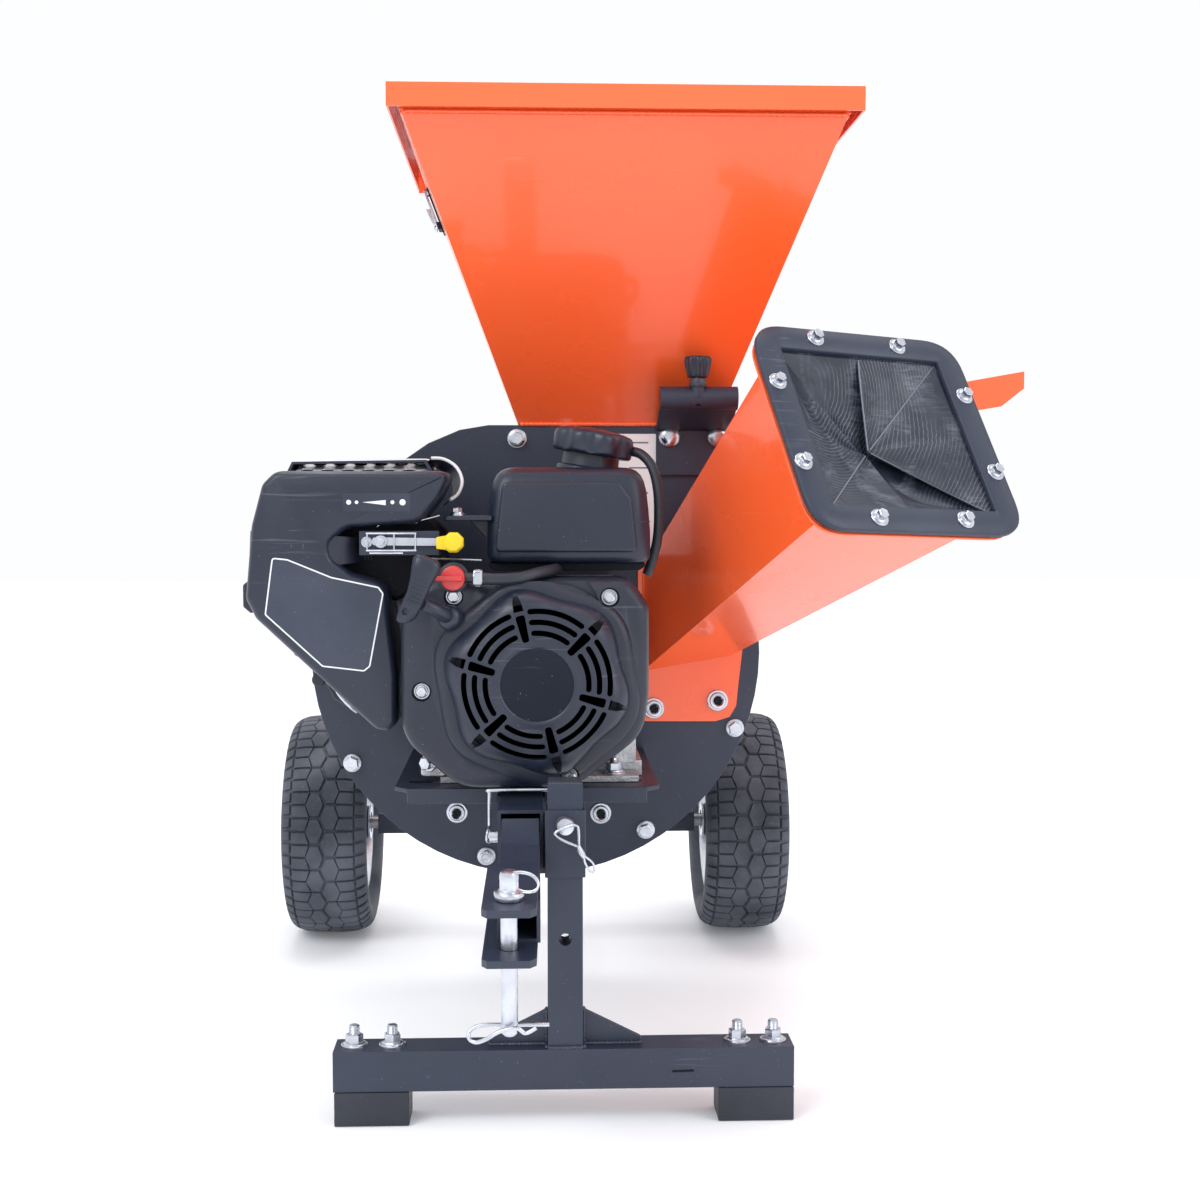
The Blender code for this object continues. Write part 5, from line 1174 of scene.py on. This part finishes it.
def hopper_trim():
    """The weld beads of the orange pieces, the chute's flange, the hopper's paint and its latch."""
    beads = Shape()
    x0, x1, y0 = -0.1215, 0.2885, -0.1965
    beads.weld((x0, y0 + 0.0005, 0.89), (x1, y0 + 0.0005, 0.89), 0.0026, 0.006)
    beads.weld((x0 - 0.0012, y0 + 0.004, 0.8902), (x0 - 0.0012, 0.196, 0.8902), 0.0024, 0.006)
    beads.weld((x1 + 0.0012, y0 + 0.004, 0.8902), (x1 + 0.0012, 0.196, 0.8902), 0.0024, 0.006)
    beads.weld((-0.017, -0.0006, 0.613), (0.187, -0.0006, 0.613), 0.0024, 0.005)
    for x0, z0, x1, z1 in ((0.118, 0.3562, 0.203, 0.3722), (0.1135, 0.358, 0.1135, 0.458),
                           (0.205, 0.374, 0.205, 0.482)):
        beads.weld((x0, -0.0046, z0), (x1, -0.0046, z1), 0.0022, 0.005)
    beads.piece("orange_weld_beads", "orange", angle=60)

    fold = Shape()
    outline = round_corners(box_outline(0.111, 0.1075), 0.035, 8)
    inner = round_corners(box_outline(0.0905, 0.0885), 0.006, 8)
    fold.levels(((outline, -0.0136), (outline, -0.0112), (inner, -0.0112), (inner, -0.0136)), MOUTH, ring=True)
    fold.piece("chute_mouth_flange", "orange", bevel=0.0005)

    wrap = Shape()
    heights = (0.6135, 0.7362, 0.8895)

    def corner(right, ahead):
        """One upright line of the wrap: its outer face going up, then its inner face going down."""
        line = []
        for lift, going in ((0.0006, heights), (0.00012, heights[::-1])):
            for z in going:
                up = z - HOPPER_FOOT
                x = 0.188 + 0.3659 * up + lift if right else -0.018 - 0.3773 * up - lift
                y = 0.0005 - 0.702 * up - lift if ahead else 0.115 + 0.255 * up
                line.append(Vector((x, y, z)))
        return line

    wrap.skin([corner(False, False), corner(False, True), corner(True, True), corner(True, False)])
    wrap.piece("hopper_paint_wrap", "orange", angle=30)

    def left(z):
        """Where the hopper's left wall is at a height."""
        return -0.018 - 0.105 * (z - HOPPER_FOOT) / (HOPPER_TOP - HOPPER_FOOT)

    latch = Shape()
    for z0, z1, out in ((0.838, 0.894 - 0.006, 0.0024), (0.842, 0.85, 0.0062)):
        latch.prism([(left(z0) - 0.0004, z0), (left(z1) - 0.0004, z1), (left(z1) - out, z1), (left(z0) - out, z0)],
                    -0.1915, -0.1675, FRONT)
    latch.piece("latch_base", "deep", bevel=0.0006)
    wire = Shape()
    z = 0.872
    wire.bent([(left(z) - 0.0052, 0.17, z), (left(z) - 0.0058, 0.186, z + 0.001),
               (left(z) - 0.005, 0.198, z), (left(z) - 0.005, 0.1985, z - 0.008),
               (left(z) - 0.0058, 0.186, z - 0.009), (left(z) - 0.005, 0.17, z - 0.008)], 5, 0.0011, 8)
    wire.bolt((left(0.88) - 0.0024, 0.173, 0.884), (-1, 0, 0), 0.0052, 0.0048, 0.0022)
    wire.bolt((left(0.846) - 0.0062, 0.187, 0.846), (-1, 0, 0), 0.0052, 0.0048, 0.0022)
    wire.piece("latch_wire", "zinc")


knob()
housing_trim()
hopper_trim()


# ---- engine base
def engine_base():
    """The engine's mounting bolts, its fins and the spark lead."""
    bolts = Shape()
    for x, y in ((-0.09, -0.195), (0.072, -0.195), (-0.09, -0.06), (0.09, -0.06)):
        bolts.bolt((x, y, 0.2852 if y > -0.1 else 0.2766), (0, 0, 1), 0.0125, 0.011, 0.007, flange=True,
                   stud=0.004)
    bolts.bolt((-0.1, -0.2122, 0.29), (-0.6, -0.8, 0), 0.011, 0.0085, 0.0065)
    bolts.piece("engine_mount_bolts", "zinc")
    foot = Shape()
    foot.prism(round_corners([(-0.108, 0.2768), (-0.085, 0.2768), (-0.085, 0.296), (-0.102, 0.296),
                              (-0.108, 0.29)], 0.003, 3), 0.17, 0.212, FRONT)
    foot.piece("crankcase_foot_boss", "alloy", bevel=0.0012)
    slots = Shape()
    # Near-black flats on the mount plate: painted shade in its slots.
    for x0, x1, y in ((0.07, 0.096, -0.204), (-0.12, -0.098, -0.204)):
        slots.prism(rounded_box(x0, x1, y - 0.0045, y + 0.0045, 0.0044, 4), 0.2695, 0.2708)
    slots.piece("mount_plate_slot_shade", "deep", slot="black_coat")
    fins = Shape()
    for k in range(6):
        z = 0.368 + 0.0115 * k
        fins.prism(rounded_box(-0.178, -0.108, -0.154, -0.046, 0.008, 3), z, z + 0.0022)
    fins.piece("cylinder_fins", "alloy")
    lead = Shape()
    lead.bent([(-0.232, -0.133, 0.385), (-0.236, -0.145, 0.405), (-0.215, -0.158, 0.438),
               (-0.16, -0.164, 0.452), (-0.12, -0.168, 0.456)], 8, 0.0034, 12)
    lead.piece("spark_lead", "rubber")


engine_base()


# ---- stand
STAND_X, STAND_Y, BAR_TOP = 0.0235, -0.3345, 0.0643


def stand():
    """The stand's nuts, welds, end cap and lock pin."""
    nuts = Shape()
    for x in (-0.1582, -0.1256, 0.1733, 0.2045):
        point = Vector((x, STAND_Y, BAR_TOP + 0.0001))
        nuts.bolt(point, (0, 0, 1), 0.0132, 0.0115, 0.0075, flange=True)
        pitch, height = 0.00125, BAR_TOP + 0.0105
        profile = [(0.003, height)]
        for k in range(6):
            profile += [(0.0043, height + k * pitch), (0.0047, height + (k + 0.5) * pitch)]
        nuts.turned(profile + [(0.0038, height + 6.2 * pitch), (0.0, height + 6.3 * pitch)],
                    Matrix.Translation((x, STAND_Y, 0)), 20)
    nuts.piece("stand_nuts", "zinc")

    beads = Shape()
    side = 0.0155
    for sign in (-1, 1):
        x = STAND_X + sign * (side + 0.0005)
        for y in (STAND_Y - 0.0042, STAND_Y + 0.0042):
            beads.weld((x, y, 0.095), (x, y, 0.066), 0.0018)
            beads.weld((x, y, BAR_TOP + 0.0008), (x + sign * 0.05, y, BAR_TOP + 0.0008), 0.002)
        beads.weld((x, STAND_Y - side, BAR_TOP + 0.0006), (x, STAND_Y + side, BAR_TOP + 0.0006), 0.0022)
    for y in (STAND_Y - side, STAND_Y + side):
        beads.weld((STAND_X - side, y, BAR_TOP + 0.0008), (STAND_X + side, y, BAR_TOP + 0.0008), 0.0022)
    beads.weld((0.0057, -0.32, 0.214), (0.0057, -0.32, 0.264), 0.0016)
    beads.weld((-0.032, -0.003, 0.2112), (0.0035, -0.003, 0.2112), 0.0026)
    beads.piece("black_weld_beads", "weld")

    # A near-black strip on the crossbar: painted shade in a slot.
    slot = Shape().prism(round_corners([(0.115, 0.043), (0.134, 0.0434), (0.134, 0.0454), (0.115, 0.045)],
                                       0.0009, 2), 0.3515, 0.3524, FRONT)
    slot.piece("crossbar_slot_shade", "deep", slot="black_coat")
    plug = Shape()
    place = Matrix.Translation((STAND_X, STAND_Y, 0.0))
    plug.tapered(rounded_box(-0.015, 0.015, -0.015, 0.015, 0.002, 3),
                 ((0.0004, 0.2928), (0.0004, 0.294), (0.0014, 0.2946)), place)
    plug.piece("post_end_cap", "post_top")

    pin = Shape()
    place = frame_on((STAND_X, -0.308, 0.259), (0, -1, 0))
    pin.turned([(0.0, 0.0), (0.004, 0.0), (0.005, 0.001), (0.005, 0.044), (0.0078, 0.0442), (0.008, 0.045),
                (0.008, 0.053), (0.007, 0.0556), (0.004, 0.0562), (0.0, 0.0563)], place, 32)
    pin.piece("stand_pin_round", "zinc", "stand_lock_pin", angle=40, replaces=["stand_lock_pin"])
    wire = Shape()
    wire.bent([(0.0236, -0.3655, 0.259), (0.016, -0.3665, 0.256), (0.015, -0.367, 0.2525),
               (0.0225, -0.3675, 0.248), (0.031, -0.368, 0.2445), (0.0335, -0.368, 0.2425)], 6, 0.0012, 8)
    wire.bent([(0.0236, -0.3655, 0.259), (0.029, -0.366, 0.261), (0.0335, -0.3668, 0.26),
               (0.0345, -0.3675, 0.254), (0.0345, -0.368, 0.247), (0.035, -0.368, 0.2425)], 6, 0.0012, 8)
    wire.tube([(0.0335, -0.368, 0.244), (0.0372, -0.368, 0.2372), (0.0392, -0.368, 0.234)],
              [0.0024, 0.0026, 0.002], 12)
    wire.bent([(0.0385, -0.368, 0.2352), (0.04, -0.3675, 0.229), (0.044, -0.366, 0.222),
               (0.0472, -0.364, 0.2205), (0.048, -0.3635, 0.2235), (0.046, -0.365, 0.229),
               (0.0395, -0.3675, 0.235)], 6, 0.001, 8)
    wire.piece("stand_pin_lanyard", "zinc", "stand_lock_pin", angle=50)


stand()


# ---- tow bar
TOW_Y, TOW_Z, TOW_DROOP, HITCH_X = -0.324, 0.214, math.radians(5.5), -0.0217


def drooped(x, y, z):
    """A point of the level tow bar, tilted with the bar."""
    c, s = math.cos(TOW_DROOP), math.sin(TOW_DROOP)
    dy, dz = y - TOW_Y, z - TOW_Z
    return Vector((x, TOW_Y + c * dy - s * dz, TOW_Z + s * dy + c * dz))


def tow():
    """The hitch pin, its ring and clip, and the bail of the tow bar's lock pin."""
    bar_top = 0.2482   # before the bar is tilted
    ramp = Shape()
    rear = drooped(0, -0.3262, bar_top)
    edge = [rear, rear + Vector((0, 0, 0.0124)), rear + Vector((0, -0.004, 0.0128)),
            drooped(0, -0.356, bar_top) + Vector((0, 0, 0.001)), drooped(0, -0.364, bar_top)]
    ramp.skin([[Vector((x, p.y, p.z)) for p in edge] for x in (-0.0308, 0.0016)])
    ramp.piece("tow_bar_shim", "coat", bevel=0.0006)
    top = drooped(HITCH_X, -0.512, bar_top + 0.0061)
    down = (drooped(HITCH_X, -0.512, 0.1) - top).normalized()
    place = frame_on(top, -down, (0, 1, 0))
    pin = Shape()
    pin.turned([(0.0, -0.108), (0.0045, -0.1078), (0.0064, -0.1058), (0.0065, 0.0), (0.0112, 0.0002),
        (0.0115, 0.001), (0.0115, 0.005), (0.0108, 0.006), (0.0085, 0.0066), (0.0072, 0.008), (0.0072, 0.0185),
        (0.0062, 0.0212), (0.003, 0.022), (0.0, 0.022)], place, 40)
    hole = Shape()
    for h, r in ((-0.1, 0.0021), (0.0135, 0.0019)):
        hole.turned([(r, -0.03), (r, 0.03)], frame_on(top - down * h, (1, 0, 0)), 16)
    pin.piece("hitch_pin_turned", "zinc", "hitch_pin", angle=40, replaces=["hitch_pin"], cut=hole.cutter())
    split = Shape()
    eye = top - down * 0.0135
    ring = [eye + Vector((0.01 + 0.0118 * math.cos(a), -0.0015 + 0.002 * math.sin(2 * a),
                          -0.001 - 0.0021 * math.cos(a) + 0.0072 * math.sin(a)))
            for a in (TAU * k / 40 for k in range(40))]
    split.tube(ring, 0.0009, 8, ring=True)
    split.tube([p + Vector((0.0004, 0.0, 0.0012)) for p in ring], 0.0009, 8, ring=True)
    split.piece("hitch_pin_ring", "zinc", "hitch_pin", angle=50)
    hole_at = top + down * 0.1
    clip = Shape()
    offsets = ((0.03, 0, 0), (0, 0, 0), (-0.02, 0, 0), (-0.029, -0.001, -0.003), (-0.031, -0.0035, -0.008),
               (-0.026, -0.006, -0.011), (-0.018, -0.009, -0.008), (-0.008, -0.01, -0.002),
               (0.005, -0.0105, 0.001), (0.012, -0.0105, -0.003), (0.02, -0.011, 0.001))
    clip.bent([hole_at + Vector(p) for p in offsets], 8, 0.0016, 12)
    clip.piece("hitch_clip_bent", "zinc", "hitch_clip", angle=50, replaces=["hitch_clip"])

    y, z = -0.311, 0.2405
    side = y + 0.0075
    bail = Shape()
    bail.bent([(-0.0415, side, z - 0.003), (-0.042, side, z + 0.01), (-0.042, side, 0.274),
               (-0.0417, side, 0.2785), (-0.0375, side, 0.28), (0.031, side, 0.28),
               (0.036, side, 0.2785), (0.0365, side, 0.274), (0.0365, y + 0.004, 0.256),
               (0.036, y, z)], 7, 0.0015, 10)
    bail.bent([(-0.0415, side, z - 0.001), (-0.0412, side - 0.004, z - 0.005),
               (-0.044, side - 0.01, z - 0.003), (-0.0436, side - 0.01, z + 0.004),
               (-0.0422, side - 0.004, z + 0.008)], 6, 0.0012, 10)
    bail.piece("tow_pin_bail_bent", "zinc", "tow_pin_bail", angle=50, replaces=["tow_pin_bail"])


tow()


# ---- floor, light and camera
def stage():
    """Floor, lights and the camera at the photograph's angle."""
    floor = Shape()
    floor.prism([(-9, -9), (9, -9), (9, 9), (-9, 9)], -0.02, -0.0005)
    obj = floor.made("floor", Vector())
    f = Finish("floor_pale", (0.955, 0.96, 0.985), 0.5, specular=0.25)
    f.tint(f.span(f.noise(1.5, 2.0), 0.3, 0.7, 0.0, 0.2), (0.94, 0.945, 0.975))
    f.shader.inputs["Emission Color"].default_value = (0.93, 0.95, 1.0, 1.0)
    f.shader.inputs["Emission Strength"].default_value = 0.1
    obj.data.materials.append(f.done())

    world = bpy.data.worlds.new("studio")
    bpy.context.scene.world = world
    world.use_nodes = True
    back = world.node_tree.nodes["Background"]
    back.inputs["Color"].default_value = (0.985, 0.99, 1.0, 1.0)
    back.inputs["Strength"].default_value = 1.0

    def lamp(name, place, look_at, size, power, colour=(1, 1, 1)):
        data = bpy.data.lights.new(name, "AREA")
        data.shape, data.size, data.size_y = "RECTANGLE", size[0], size[1]
        data.energy, data.color = power, colour
        lamp_obj = bpy.data.objects.new(name, data)
        lamp_obj.location = place
        lamp_obj.rotation_euler = (Vector(look_at) - Vector(place)).to_track_quat("-Z", "Y").to_euler()
        bpy.context.scene.collection.objects.link(lamp_obj)

    lamp("key", (-1.6, -1.9, 2.3), (-0.1, 0.0, 0.45), (1.4, 1.4), 34.0)
    lamp("fill", (2.0, -1.6, 1.6), (0.0, 0.0, 0.5), (1.2, 1.8), 20.0, (0.96, 0.98, 1.0))
    lamp("top", (0.0, 0.6, 3.0), (0.0, 0.0, 0.4), (2.2, 1.6), 30.0)

    camera = bpy.data.cameras.new("camera")
    camera.lens, camera.sensor_width = 48.986, 36.0
    eye = bpy.data.objects.new("camera", camera)
    eye.location = (-0.002 + SHIFT.x, -1.7237 + SHIFT.y, 0.5354)
    eye.rotation_euler = (math.radians(90 - 3.566), 0.0, math.radians(-2.298))
    bpy.context.scene.collection.objects.link(eye)
    bpy.context.scene.camera = eye
    bpy.context.scene.view_settings.view_transform = "Standard"
    bpy.context.scene.view_settings.look = "None"


stage()
